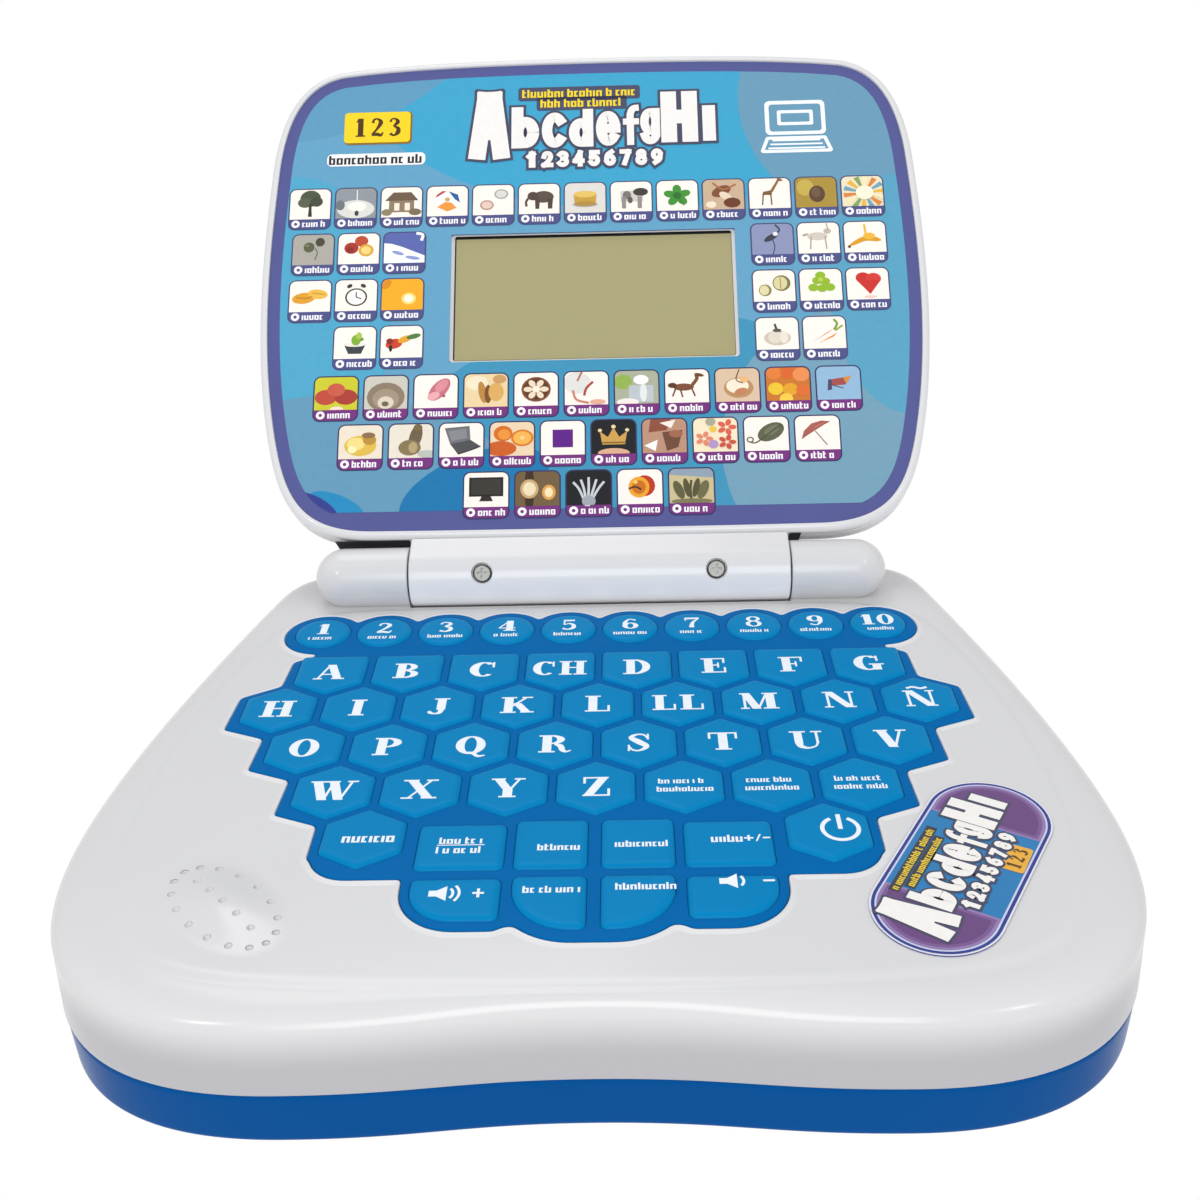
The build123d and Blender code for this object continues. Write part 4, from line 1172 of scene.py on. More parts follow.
def petals(code, x, y, reach, size, count, turn=0):
    return [E(code, x + reach * math.cos(a), y + reach * math.sin(a), size, size * 0.7, math.degrees(a))
            for a in np.radians(np.linspace(0, 360, count, endpoint=False) + turn)]


def rays(codes, x, y, reach, count):
    made = []
    for k in range(count):
        a, b = math.tau * k / count, math.tau * (k + 0.6) / count
        made.append(P(codes[k % len(codes)], (x, y), (x + reach * math.cos(a), y + reach * math.sin(a)),
                      (x + reach * math.cos(b), y + reach * math.sin(b))))
    return made


PAPER, NIGHT, SLATE = "#f7ede4", "#15181c", "#a9a59d"
# Each picture is its background and its shapes on a square from -1 to 1.
PICTURES = {
    "tree": (PAPER, [E("#4a5240", 0, 0.35, 0.5, 0.5), E("#565e48", -0.25, 0.1, 0.35, 0.3),
        E("#434a39", 0.3, 0.15, 0.3, 0.3), P("#3c3429", (-0.09, -0.75), (0.1, -0.75), (0.05, 0.05),
        (-0.05, 0.05))]),
    "whale": ("#8d9399", [E("#d9d8d2", 0, -0.35, 0.9, 0.55), E("#6d747b", -0.75, -0.1, 0.22, 0.3),
        E("#efece4", 0.05, -0.2, 0.45, 0.3), E("#3c4248", 0.05, -0.6, 0.1, 0.16),
        L("#e8e6e0", 0.06, (0.05, 0.1), (0.05, 0.8))]),
    "house": (PAPER, [B("#8d7a63", -0.6, -0.6, 0.6, 0.1),
        P("#6b5844", (-0.8, 0.1), (0.8, 0.1), (0.45, 0.6), (-0.4, 0.6)),
        B("#efe3d0", -0.35, -0.5, -0.1, -0.05),
        B("#efe3d0", 0.15, -0.5, 0.4, -0.05),
        E("#7a6a52", 0.65, -0.6, 0.3, 0.2), E("#8a8060", -0.7, -0.6, 0.25, 0.2)]),
    "ball": (PAPER, [E("#f5f2ec", 0, 0, 0.62), P("#b8434f", (-0.58, 0.2), (-0.05, 0.6), (-0.25, 0.62),
        (-0.5, 0.4)), P("#2f5e9e", (0.05, 0.6), (0.5, 0.38), (0.6, -0.1), (0.35, 0.1)),
        P("#e8963c", (-0.5, -0.35), (-0.1, -0.05), (0.2, -0.1), (0.45, -0.42), (0, -0.62)),
        E("#c8a45c", 0, 0.1, 0.12)]),
    "coins": (PAPER, [E("#a8a6a2", 0.38, 0.35, 0.34, 0.3), E("#d6d4cf", 0.38, 0.35, 0.26, 0.22),
        E("#b48e7e", -0.3, -0.3, 0.33, 0.3), E("#e3c6b8", -0.3, -0.3, 0.25, 0.22)]),
    "elephant": (PAPER, [E("#5a4c42", 0.2, 0.12, 0.5, 0.36), E("#4e4138", -0.3, 0.18, 0.26, 0.26),
        L("#5a4c42", 0.13, (-0.45, 0.15), (-0.62, -0.15), (-0.6, -0.45)),
        P("#4e4138", (-0.18, -0.6), (0.0, -0.6), (0.04, 0.0), (-0.2, 0.0)),
        P("#4e4138", (0.42, -0.6), (0.62, -0.6), (0.66, 0.0), (0.4, 0.0))]),
    "cake": ("#d9d5cf", [E("#a79f96", 0, -0.4, 0.6, 0.16),
        P("#c39a3e", (-0.5, -0.35), (0.5, -0.35), (0.55, 0.2), (-0.55, 0.2)),
        E("#e0bd62", 0, 0.22, 0.55, 0.2), E("#b0883a", 0, -0.35, 0.5, 0.14)]),
    "cow": (PAPER, [P("#c9c5c0", (-0.5, -0.3), (0.55, -0.3), (0.6, 0.4), (-0.5, 0.35)),
        E("#3e3b39", 0.45, 0.28, 0.36, 0.24), E("#77726e", -0.2, 0.1, 0.2, 0.25),
        B("#8f8a85", -0.45, -0.7, -0.25, 0),
        B("#8f8a85", 0.3, -0.7, 0.5, 0), E("#5c5855", -0.05, -0.2, 0.12, 0.2)]),
    "leaves": (PAPER, petals("#3f8f35", 0, 0, 0.36, 0.3, 5, 20) + [E("#2e6f2a", 0, 0, 0.2),
        L("#2e6f2a", 0.05, (0, 0), (0.3, -0.6))]),
    "spice": ("#c7ab8e", [E("#7f4d33", -0.1, 0.2, 0.5, 0.3, 30), E("#e4cfb6", 0.1, -0.1, 0.35, 0.2, -40),
        E("#6b3a27", 0.4, -0.5, 0.4, 0.3), L("#a56a45", 0.1, (-0.5, 0.7), (0, 0.3), (0.6, 0.6)),
        E("#efdcc4", -0.6, -0.6, 0.25, 0.2)]),
    "giraffe": (PAPER, [P("#7e5a36", (-0.35, -0.1), (0.1, -0.1), (0.12, 0.2), (-0.3, 0.1)),
        P("#8a6540", (0.0, 0.1), (0.14, 0.05), (0.5, 0.8), (0.4, 0.85)),
        L("#6b4b2c", 0.07, (-0.3, 0.0), (-0.36, -0.7)), L("#6b4b2c", 0.07, (0.05, 0.0), (0.08, -0.7)),
        E("#8a6540", 0.5, 0.8, 0.14, 0.08, -20)]),
    "seed": ("#a88c3a", [E("#c2a94e", -0.5, 0.3, 0.4, 0.5), E("#5b4330", 0.05, -0.1, 0.38, 0.5),
        E("#6f5540", 0.0, 0.0, 0.22, 0.3)]),
    "sunburst": ("#e8dcc0", rays(["#e3b23c", "#6f9fb4", "#d98236", "#f0e2b0", "#7da05a"], 0.1, -0.1, 1.0,
        14) + [E("#f4ead2", 0.1, -0.1, 0.42)]),
    "olives": (SLATE, [E("#5c5f45", -0.2, 0.15, 0.26, 0.3), E("#4a4636", 0.32, 0.45, 0.22, 0.26),
        L("#5d5a40", 0.05, (0.1, 0.1), (0.2, -0.2), (0.1, -0.6)), E("#7d8060", -0.28, 0.25, 0.08)]),
    "apples": (PAPER, [E("#a5352c", -0.35, 0.05, 0.34), E("#bb4a30", 0.12, 0.45, 0.32),
        E("#d9a43a", 0.35, -0.1, 0.36), E("#efd27a", 0.35, -0.1, 0.24), E("#8a2a24", -0.4, -0.05, 0.16)]),
    "snow": ("#5865a8", [P("#f0f3fa", (-1, -0.95), (1, -0.95), (1, -0.5), (0.4, -0.2), (-0.1, 0.05),
        (-0.6, 0.25), (-1, 0.3)), E("#8c98cc", -0.3, -0.3, 0.3, 0.1, -20),
        E("#8c98cc", 0.4, -0.6, 0.35, 0.1, -12), L("#f0f3fa", 0.16, (0.55, 0.85), (0.85, 0.75),
        (0.8, 0.4))]),
    "bread": (PAPER, [E("#dd9c2c", -0.3, -0.1, 0.55, 0.32, 8), E("#e8b64a", 0.35, 0.12, 0.48, 0.28, -8),
        L("#b87a1c", 0.06, (-0.65, -0.05), (-0.2, -0.1), (0.1, 0.0)),
        L("#c88c28", 0.05, (0.1, 0.2), (0.4, 0.15), (0.7, 0.1))]),
    "clock": (PAPER, [R("#3c3833", 0, -0.1, 0.52, 0.08), E("#fbf6ee", 0, -0.1, 0.42),
        L("#3c3833", 0.06, (0, -0.1), (0.0, 0.2)), L("#3c3833", 0.06, (0, -0.1), (0.25, -0.2)),
        E("#3c3833", -0.32, 0.55, 0.14, 0.1, 40), E("#3c3833", 0.32, 0.55, 0.14, 0.1, -40)]),
    "sun": ("#f2a922", [E("#f8d878", 0.3, -0.25, 0.34), E("#fff6da", 0.3, -0.25, 0.22),
        E("#d98a1c", -0.75, 0.6, 0.18, 0.3, -30)]),
    "soup": (PAPER, [P("#3b4147", (-0.5, -0.1), (0.5, -0.1), (0.3, -0.62), (-0.3, -0.62)),
        E("#e9e4da", 0, -0.1, 0.5, 0.12), petals("#6b9a2c", 0.05, 0.2, 0.2, 0.16, 4)[0],
        E("#7cab35", 0.05, 0.15, 0.22, 0.3), E("#a6c455", 0.18, 0.4, 0.14, 0.2)]),
    "bird": (PAPER, [E("#c8402c", -0.35, -0.1, 0.4, 0.28, 15), E("#e0a02c", 0.15, 0.15, 0.35, 0.18, 25),
        E("#4c7a3a", 0.55, 0.3, 0.34, 0.14, 15), E("#2c2a28", -0.5, -0.35, 0.08, 0.2),
        E("#8a2c20", -0.55, 0.05, 0.16)]),
    "crane": ("#8a90b4", [E("#3a3f4c", -0.05, 0.1, 0.4, 0.16, 35),
        L("#3a3f4c", 0.09, (0.15, 0.25), (0.35, 0.55), (0.15, 0.85)),
        L("#3a3f4c", 0.05, (0, 0), (0.1, -0.45), (0.0, -0.9)), E("#e4e4ea", 0.15, 0.3, 0.12)]),
    "goat": (PAPER, [E("#cfc5ba", -0.05, 0.1, 0.48, 0.24), E("#bdb1a4", 0.42, 0.4, 0.18, 0.16),
        L("#a99c8e", 0.07, (-0.35, 0.1), (-0.4, -0.65)), L("#a99c8e", 0.07, (0.3, 0.1), (0.36, -0.65)),
        L("#8f8274", 0.05, (0.45, 0.5), (0.4, 0.85)), E("#a99c8e", -0.62, 0.2, 0.16, 0.06, 20)]),
    "banana": (PAPER, [L("#d99a24", np.array([0.06, 0.2, 0.26, 0.28, 0.28, 0.28, 0.28, 0.26, 0.06]),
        (-0.75, -0.5), (0.0, -0.1), (0.75, -0.2)), L("#e8b43c", 0.12, (0.0, 0.75), (0.05, 0.1)),
        E("#e8b43c", 0.2, 0.05, 0.28, 0.2), E("#6b4a1c", -0.75, -0.55, 0.08)]),
    "nuts": (PAPER, [E("#7d7848", 0.35, 0.15, 0.42, 0.46), E("#d8cf9c", 0.3, 0.15, 0.32, 0.38),
        E("#8a8450", -0.42, -0.25, 0.3, 0.34), E("#ddd4a4", -0.46, -0.25, 0.22, 0.28),
        L("#9c9560", 0.05, (0.3, 0.5), (0.3, -0.2))]),
    "grapes": (PAPER, [E("#8fb52c", x, y, 0.24, 0.22) for x,
        y in ((0, 0.55), (-0.15, 0.25), (0.2, 0.2), (-0.35, -0.15), (0.05, -0.2),
        (0.42, -0.15))] + [E("#b4cf50", 0.0, 0.3, 0.12)]),
    "heart": (PAPER, [E("#c7302c", -0.2, 0.35, 0.34, 0.32), E("#d23a34", 0.28, 0.3, 0.36, 0.32),
        P("#c7302c", (-0.5, 0.22), (0.62, 0.2), (0.1, -0.6)), E("#e8c8c0", 0.1, -0.75, 0.3, 0.08)]),
    "squash": (PAPER, [E("#cbbfae", 0, -0.25, 0.62, 0.42), E("#ddd3c4", -0.12, -0.2, 0.3, 0.36),
        E("#e6ddd0", 0.3, -0.22, 0.2, 0.34), L("#4a4238", 0.12, (0.0, 0.15), (-0.1, 0.55)),
        E("#5a5246", 0.0, 0.18, 0.2, 0.1)]),
    "carrot": (PAPER, [P("#dc7428", (0.45, 0.25), (0.2, 0.0), (-0.6, -0.55)),
        P("#e88c3c", (0.6, 0.0), (0.4, -0.25), (-0.3, -0.6)),
        L("#7a9a34", 0.12, (0.45, 0.15), (0.6, 0.5), (0.45, 0.75)),
        L("#8aa83e", 0.1, (0.5, 0.1), (0.85, 0.4))]),
    "orchard": ("#c8c62c", [E("#bb4a38", -0.45, -0.2, 0.5, 0.42), E("#a83c30", 0.45, -0.2, 0.52, 0.42),
        E("#c65a44", 0, 0.2, 0.4, 0.36), E("#f0d8cc", 0.05, -0.85, 0.3, 0.14)]),
    "bear": ("#c8c4b8", [E("#8a7a66", 0, -0.25, 0.85, 0.8), E("#a0907a", 0, -0.35, 0.6, 0.55),
        E("#d8cdb8", 0, -0.55, 0.36, 0.34), E("#6f614f", -0.02, -0.62, 0.16, 0.14)]),
    "cap": (PAPER, [E("#c4707c", 0.15, 0.1, 0.36, 0.7, -35), E("#d98c94", 0.25, 0.3, 0.22, 0.4, -35),
        E("#e8a8ac", -0.1, -0.25, 0.3, 0.2, 30), E("#a85862", 0.35, -0.25, 0.08)]),
    "dress": ("#e8cfa0", [E("#f0e0c0", -0.4, 0.4, 0.5, 0.4), E("#b8843c", -0.15, -0.1, 0.18, 0.6, 10),
        E("#7a4c24", 0.1, -0.2, 0.16, 0.5), E("#d8a85c", 0.45, -0.1, 0.34, 0.5),
        E("#c99860", 0.6, 0.6, 0.3, 0.24)]),
    "eggs": (PAPER, [E("#7d4a2c", 0, 0, 0.66, 0.68), E("#5f3620", 0, 0, 0.56, 0.58)] + petals("#ecd8bc", 0,
        0, 0.36, 0.2, 6) + [E("#f4e6d0", 0, 0, 0.18)]),
    "fish": (PAPER, [E("#dcdad6", -0.4, 0.3, 0.6, 0.6), L("#b06a50", 0.1, (-0.2, 0.9), (-0.4, 0.4)),
        L("#a83c34", 0.12, (0.3, 0.35), (0.0, 0.0), (-0.1, -0.4)),
        L("#c8826c", 0.12, (-0.6, -0.1), (-0.45, -0.6), (0.1, -0.8)),
        E("#e0a890", 0.5, -0.75, 0.36, 0.14)]),
    "gift": ("#a8ac94", [E("#8fae4c", -0.6, 0.3, 0.4, 0.4),
        B("#b8c0c4", -0.35, -0.8, 0.75, 0.1),
        E("#f4f4f0", 0.2, 0.4, 0.34, 0.26), E("#dfe2e0", 0.3, -0.3, 0.16, 0.5),
        E("#efe4e0", -0.4, -0.8, 0.5, 0.2)]),
    "horse": (PAPER, [E("#7a4a30", -0.15, -0.05, 0.46, 0.2),
        L("#7a4a30", 0.18, (0.2, 0.0), (0.45, 0.4), (0.4, 0.6)), E("#6b4028", 0.55, 0.6, 0.22, 0.09, -15),
        L("#6b4028", 0.08, (-0.5, -0.1), (-0.65, -0.55)), L("#6b4028", 0.08, (-0.3, -0.15), (-0.2, -0.6)),
        L("#6b4028", 0.08, (0.2, -0.1), (0.35, -0.55)), E("#5c3420", -0.65, 0.05, 0.2, 0.14)]),
    "icecream": ("#d8bca0", [E("#b88c60", 0.05, -0.15, 0.66, 0.55), E("#f2e4cc", 0.0, -0.05, 0.5, 0.4),
        E("#c08058", 0.15, -0.35, 0.3, 0.18, 20), L("#7a5638", 0.06, (0.1, 0.85), (-0.05, 0.3),
        (0.25, 0.1)), E("#e8b478", 0.3, 0.3, 0.18)]),
    "oranges": ("#c8742c", [E("#e07c38", -0.6, 0.6, 0.34), E("#d86428", 0.0, 0.6, 0.32),
        E("#e88c50", 0.6, 0.5, 0.38), E("#e8c030", -0.55, -0.25, 0.34), E("#e0a028", 0.1, -0.3, 0.34),
        E("#dc6c30", 0.65, -0.35, 0.3), E("#f0c848", -0.1, -0.8, 0.3)]),
    "kite": ("#8fb4d2", [P("#a04c4c", (-0.35, 0.2), (0.55, 0.35), (0.3, -0.1), (-0.3, -0.15)),
        P("#d08c3c", (0.2, 0.3), (0.6, 0.38), (0.35, -0.05)),
        P("#4c4464", (-0.45, 0.2), (-0.3, 0.2), (-0.3, -0.35), (-0.5, -0.4)),
        L("#504a5c", 0.05, (-0.3, -0.1), (0.2, -0.3))]),
    "lemons": ("#e8dcc8", [E("#dcb84c", 0.0, -0.2, 0.72, 0.55), E("#f0d884", -0.2, -0.1, 0.4, 0.34),
        E("#b88c3c", 0.4, 0.1, 0.3, 0.26), E("#8a6a48", 0.35, 0.35, 0.3, 0.16),
        E("#f8eab0", -0.35, -0.4, 0.2)]),
    "monkey": ("#e4dccc", [E("#6b5c44", 0.2, 0.2, 0.28, 0.7, -12), E("#857350", -0.05, -0.35, 0.5, 0.42),
        E("#b09c70", 0.1, -0.35, 0.2, 0.3), E("#75643f", 0.3, 0.7, 0.2),
        E("#b8bcb4", 0.7, -0.7, 0.4, 0.2)]),
    "laptop": (PAPER, [P("#6d6e72", (-0.75, 0.65), (0.35, 0.75), (0.4, 0.0), (-0.5, -0.2)),
        P("#84858a", (-0.6, 0.5), (0.2, 0.6), (0.25, 0.1), (-0.45, -0.05)),
        P("#4c4d50", (-0.5, -0.2), (0.4, 0.0), (0.85, -0.35), (-0.15, -0.75)),
        L("#2f3033", 0.06, (-0.15, -0.75), (0.4, -0.55), (0.85, -0.35))]),
    "slices": ("#e8cfae", [E("#d06c20", -0.4, 0.3, 0.42), E("#e89038", -0.35, 0.25, 0.28),
        E("#d87820", 0.45, 0.05, 0.5, 0.45), E("#f0b050", 0.45, 0.05, 0.4, 0.35),
        E("#c85c20", -0.5, -0.5, 0.7, 0.4), E("#f4d088", 0.45, 0.05, 0.1)]),
    "purple": (PAPER, [B("#5c1a84", -0.45, -0.5, 0.45, 0.45)]),
    "crown": (NIGHT, [P("#c89c4c", (-0.5, -0.4), (0.5, -0.4), (0.6, 0.3), (0.25, 0.0), (0, 0.5),
        (-0.25, 0.0), (-0.6, 0.3)), E("#e8d09c", 0, 0.55, 0.1), E("#e8d09c", -0.6, 0.36, 0.09),
        E("#e8d09c", 0.6, 0.36, 0.09), L("#8a642c", 0.08, (-0.5, -0.3), (0.5, -0.3)),
        E("#d8a888", 0, -0.85, 0.7, 0.25)]),
    "robot": ("#b88c74", [P("#8a4c38", (-0.6, 0.9), (0.3, 0.9), (0.1, 0.3), (-0.7, 0.2)),
        P("#f0e4d8", (-0.2, 0.7), (0.5, 0.85), (0.3, 0.4)),
        P("#6d4634", (-0.1, 0.2), (0.8, 0.3), (0.6, -0.6), (0.1, -0.8)),
        P("#f4f0ea", (-0.9, -0.5), (-0.3, -0.2), (-0.4, -0.8)), E("#a0644c", 0.5, 0.1, 0.3, 0.2)]),
    "stars": ("#f0e0c0", petals("#d8604c", 0.5, 0.4, 0.26, 0.18, 5) + petals("#e08468", -0.5, -0.2, 0.24,
        0.16, 5) + [E("#a8a48c", -0.2, 0.7, 0.22), E("#e8c040", -0.1, 0.3, 0.16)] + petals("#c8503c", 0.5,
        -0.4, 0.24, 0.16, 5) + [E("#b090c0", -0.1, -0.5, 0.22)]),
    "leaf": (PAPER, [E("#5c6048", 0.2, 0.1, 0.66, 0.42, 35), E("#6f745a", 0.25, 0.2, 0.4, 0.2, 35),
        L("#4a4e38", 0.07, (-0.8, -0.4), (-0.45, -0.45), (0.2, 0.1), (0.7, 0.5)),
        R("#5c6048", -0.72, -0.3, 0.16, 0.06)]),
    "umbrella": (PAPER, [P("#a85c54", (-0.7, -0.3), (-0.6, 0.1), (-0.25, 0.5), (0.2, 0.65), (0.55, 0.6)),
        P("#c07468", (-0.7, -0.3), (-0.2, 0.05), (0.55, 0.6), (0.0, 0.4)),
        L("#6c6058", 0.05, (-0.1, 0.1), (0.4, -0.65)), L("#8c4840", 0.05, (-0.7, -0.3), (-0.1, 0.2),
        (0.55, 0.6))]),
    "screen": (PAPER, [B("#211f1c", -0.75, -0.35, 0.75, 0.65),
        B("#38352f", -0.65, -0.25, 0.65, 0.55),
        P("#2a2825", (-0.3, -0.6), (0.3, -0.6), (0.2, -0.35), (-0.2, -0.35))]),
    "watch": ("#6f5a3c", [E("#c8a474", -0.35, 0.0, 0.4, 0.5), E("#e8d8b0", -0.35, 0.0, 0.28, 0.36),
        P("#3a2c1e", (-0.55, 0.5), (-0.15, 0.5), (-0.2, 0.95), (-0.5, 0.95)),
        P("#3a2c1e", (-0.55, -0.5), (-0.15, -0.5), (-0.2, -0.95), (-0.5, -0.95)),
        E("#d89c50", 0.5, -0.2, 0.3, 0.4), E("#f0dcb0", 0.5, -0.2, 0.18, 0.26)]),
    "xray": (NIGHT, [L("#c8ccd0", 0.12, (-0.1 + 0.02 * k, -0.95), (0.2 * (k - 2), -0.1),
        (0.34 * (k - 2), 0.55 - 0.12 * abs(k - 2))) for k in range(5)] + [E("#9ca2a8", 0, -0.7, 0.3, 0.3)]),
    "yoyo": (PAPER, [E("#b8341c", 0.2, 0.05, 0.46, 0.55), E("#e8a028", -0.05, -0.02, 0.46, 0.55),
        E("#c86c1c", -0.05, -0.02, 0.3, 0.36), L("#3a2c1c", 0.09, (-0.5, -0.1), (-0.2, 0.0), (0.05, -0.15)),
        E("#f0c458", -0.2, 0.25, 0.1)]),
    "palms": ("#c8b88c", [P("#8c9cac", (-1, 0.6), (1, 0.4), (1, 0.95), (-1, 0.95)),
        L("#4c4c34", 0.12, (0.0, -0.9), (-0.05, -0.2), (0.0, 0.3)), E("#5c5c3c", -0.55, -0.2, 0.2, 0.5, 20),
        E("#6c6844", 0.5, -0.2, 0.22, 0.5, -20), E("#545034", -0.2, -0.1, 0.14, 0.5, 10),
        E("#545034", 0.2, -0.1, 0.14, 0.5, -12), E("#7c7450", 0.0, -0.8, 0.9, 0.14)]),
}

# Rows of pictures: place of the row, nudge to the side, pitch, columns and names.
UPPER_TILES = [(0, -0.2, 14.19, range(-6, 7),
                "tree whale house ball coins elephant cake cow leaves spice giraffe seed sunburst"),
               (1, 0.5, 14.04, (-6, -5, -4, 4, 5, 6), "olives apples snow crane goat banana"),
               (2, 0.3, 14.04, (-6, -5, -4, 4, 5, 6), "bread clock sun nuts grapes heart"),
               (3, 0.5, 14.04, (-5, -4, 4, 5), "soup bird squash carrot")]
LOWER_TILES = [(0, -0.4, 14.86, range(-5, 6),
                "orchard bear cap dress eggs fish gift horse icecream oranges kite"),
               (1, 0.0, 14.86, np.arange(-4.5, 5),
                "lemons monkey laptop slices purple crown robot stars leaf umbrella"),
               (2, 0.0, 14.86, range(-2, 3), "screen watch xray yoyo palms")]


def picture_tile(art, x, v, width, height, edge, band, picture, seed):
    half_w, half_h = width / 2, height / 2
    rim, strip_height = 0.42, 3.3
    art.level = 5
    art.fill(edge, rounded(box_points(x - half_w, x + half_w, v - half_h, v + half_h), 2.2, steps=6))
    low, inner_w = v - half_h + rim, half_w - rim
    art.lift().fill(band, rounded(box_points(x - inner_w, x + inner_w, low, v + half_h - rim), 1.8,
                                  steps=6))
    bottom, top = low + strip_height, v + half_h - rim
    paper, shapes = PICTURES[picture]
    art.lift().fill(paper, rounded(box_points(x - inner_w, x + inner_w, bottom, top),
                                   [0.05, 0.05, 1.8, 1.8], steps=6))
    middle, sx, sy = (bottom + top) / 2, inner_w * 1.04, (top - bottom) / 2 * 1.12
    inside = rounded(box_points(x - inner_w, x + inner_w, bottom, top), [0.05, 0.05, 1.8, 1.8], steps=3)

    def spread(points):
        return [(x + px * sx, middle + py * sy) for px, py in points]
    for shape in shapes:
        art.lift(0.6)
        if shape[0] == "fill":
            cut = within(spread(shape[2]), inside)
            if len(cut) > 2:
                art.fill(shape[1], cut)
        elif shape[0] == "ring":
            art.strip(shape[1], spread(shape[2]), spread(shape[3]), closed=True)
        else:
            art.line(shape[1], spread(shape[2]), np.asarray(shape[3]) * sy)
    art.level = 8
    art.fill("#f4f2f6", circle(x - half_w + 2.4, low + strip_height * 0.5, 1.3, 14))
    art.lift(0.5).fill(band, circle(x - half_w + 2.4, low + strip_height * 0.5, 0.55, 8))
    greeked(art, "#f4f2f6", x + 1.5, low + strip_height * 0.5, width * 0.56, 2.1, seed)


GRID_X = -2.8
FIELD = "#609dbf"


def lid_artwork():
    field = sampled(inset(LID_OUTLINE, BEZEL + BAND_WIDTH), (6, 16, 16, 12, 6)) + (LID_X, 0)
    field = np.array(clipped([tuple(p) for p in field], 0, -1, -18.6))
    art = Art()
    fill_field(art, FIELD, field, field)
    swooshes = [("#3a9fc6", circle(4, 152, 74, 60, 36, turn=-6)),
                ("#5a96b8", circle(-72, 168, 40, 40, 18, turn=30)),
                ("#6596b2", circle(80, 150, 34, 40, 40, turn=20)), ("#4ca2c4", circle(-92, 78, 30, 40, 52)),
                ("#3c8fb4", circle(8, 44, 66, 60, 36, turn=8)),
                ("#6094b2", circle(-66, 28, 48, 40, 26, turn=-14)),
                ("#709bb2", circle(82, 36, 46, 40, 46, turn=-20)), ("#559dbc", circle(92, 86, 22, 40, 40)),
                ("#1272a8", circle(-36, 25, 23, 40, 11, turn=22)),
                ("#1f86b8", circle(-76, 20.5, 9, 24, 3.6, turn=-24)),
                ("#2f3a88", circle(-83, 19.5, 9, 24, 4.4, turn=-30))]
    for k, (code, points) in enumerate(swooshes):
        art.level = 1 + 0.35 * (k + 1)
        fill_field(art, code, points, field)
    seed = 300
    for group, pitch_v, top_v, size, edge, band in (
            (UPPER_TILES, 15.86, 118.5, (13.3, 14.5), "#454a70", "#4b5085"),
            (LOWER_TILES, 15.69, 54.5, (13.6, 14.7), "#35315c", "#742e7a")):
        for row, nudge, pitch_x, columns, names in group:
            for column, name in zip(columns, names.split()):
                seed += 1
                x = GRID_X + nudge + column * pitch_x
                picture_tile(art, x, top_v - row * pitch_v, *size, edge, band, name, seed)
    yellow_tag(art, -68.2, 147.2, 20.8, 11.0)
    art.level = 6
    art.fill("#eef0f2", rounded(box_points(-83.6, -52.8, 133.4, 137.8), 1.6))
    art.lift()
    greeked(art, "#2a2424", -68.2, 135.6, 29.6, 3.2, 777)
    notebook_mark(art, 62.9, 143.4)
    for row, (x, y, w) in enumerate(((-4.6, 158.0, 36.0), (-3.8, 154.3, 26.0))):
        art.level = 5
        art.fill("#474a63", rounded(box_points(x - w / 2 - 1.2, x + w / 2 + 1.2, y - 2.6, y + 2.3), 0.9))
        art.lift()
        greeked(art, "#f2d21c", x, y, w, 2.9, 640 + row)
    return art


def yellow_tag(art, x, y, width, height):
    """Yellow rounded tag with three generic marks."""
    art.level = 5
    art.fill("#8a6a20", rounded(box_points(x - width / 2 + 0.3, x + width / 2 + 0.6, y - height / 2 - 0.7,
                                           y + height / 2), 1.4))
    art.lift().fill("#f4cf1e", rounded(box_points(x - width / 2, x + width / 2, y - height / 2,
                                                  y + height / 2), 1.2))
    for k, character in enumerate("123"):
        art.level = 7
        write_text(art, "#4a3410", character, x + (k - 1) * width * 0.26, y, height * 0.6, 1.0)


def notebook_mark(art, x, y):
    """White outline of an open notebook computer."""
    white = "#eef4f8"
    art.level = 6
    art.fill(white, rounded(box_points(x - 9.4, x + 9.4, y - 2.6, y + 9.7), 1.6))
    art.lift().fill("#6596b2", rounded(box_points(x - 8.1, x + 8.1, y - 1.4, y + 8.4), 1.0))
    art.lift().fill(white, rounded(box_points(x - 5.6, x + 5.6, y + 0.8, y + 6.2), 0.6))
    art.lift().fill("#6596b2", rounded(box_points(x - 4.5, x + 4.5, y + 1.9, y + 5.1), 0.4))
    art.level = 6
    base = [(x - 11.5, y - 9.0), (x + 11.5, y - 9.0), (x + 9.3, y - 3.2), (x - 9.3, y - 3.2)]
    art.fill(white, rounded(base, 0.8))
    art.lift().fill("#6596b2", rounded(base, 0.8, 1.1))
    for row in range(3):
        art.lift(0.3).fill(white, box_points(x - 7.4 - row * 0.7, x + 7.4 + row * 0.7, y - 4.9 - 1.4 * row,
                                             y - 4.3 - 1.4 * row))


def arc(x, y, rx, ry, start=0.0, stop=360.0):
    points = circle(x, y, rx, 26, ry, start=start, stop=stop)
    return np.vstack((points, points[:1])) if stop - start >= 360 else points


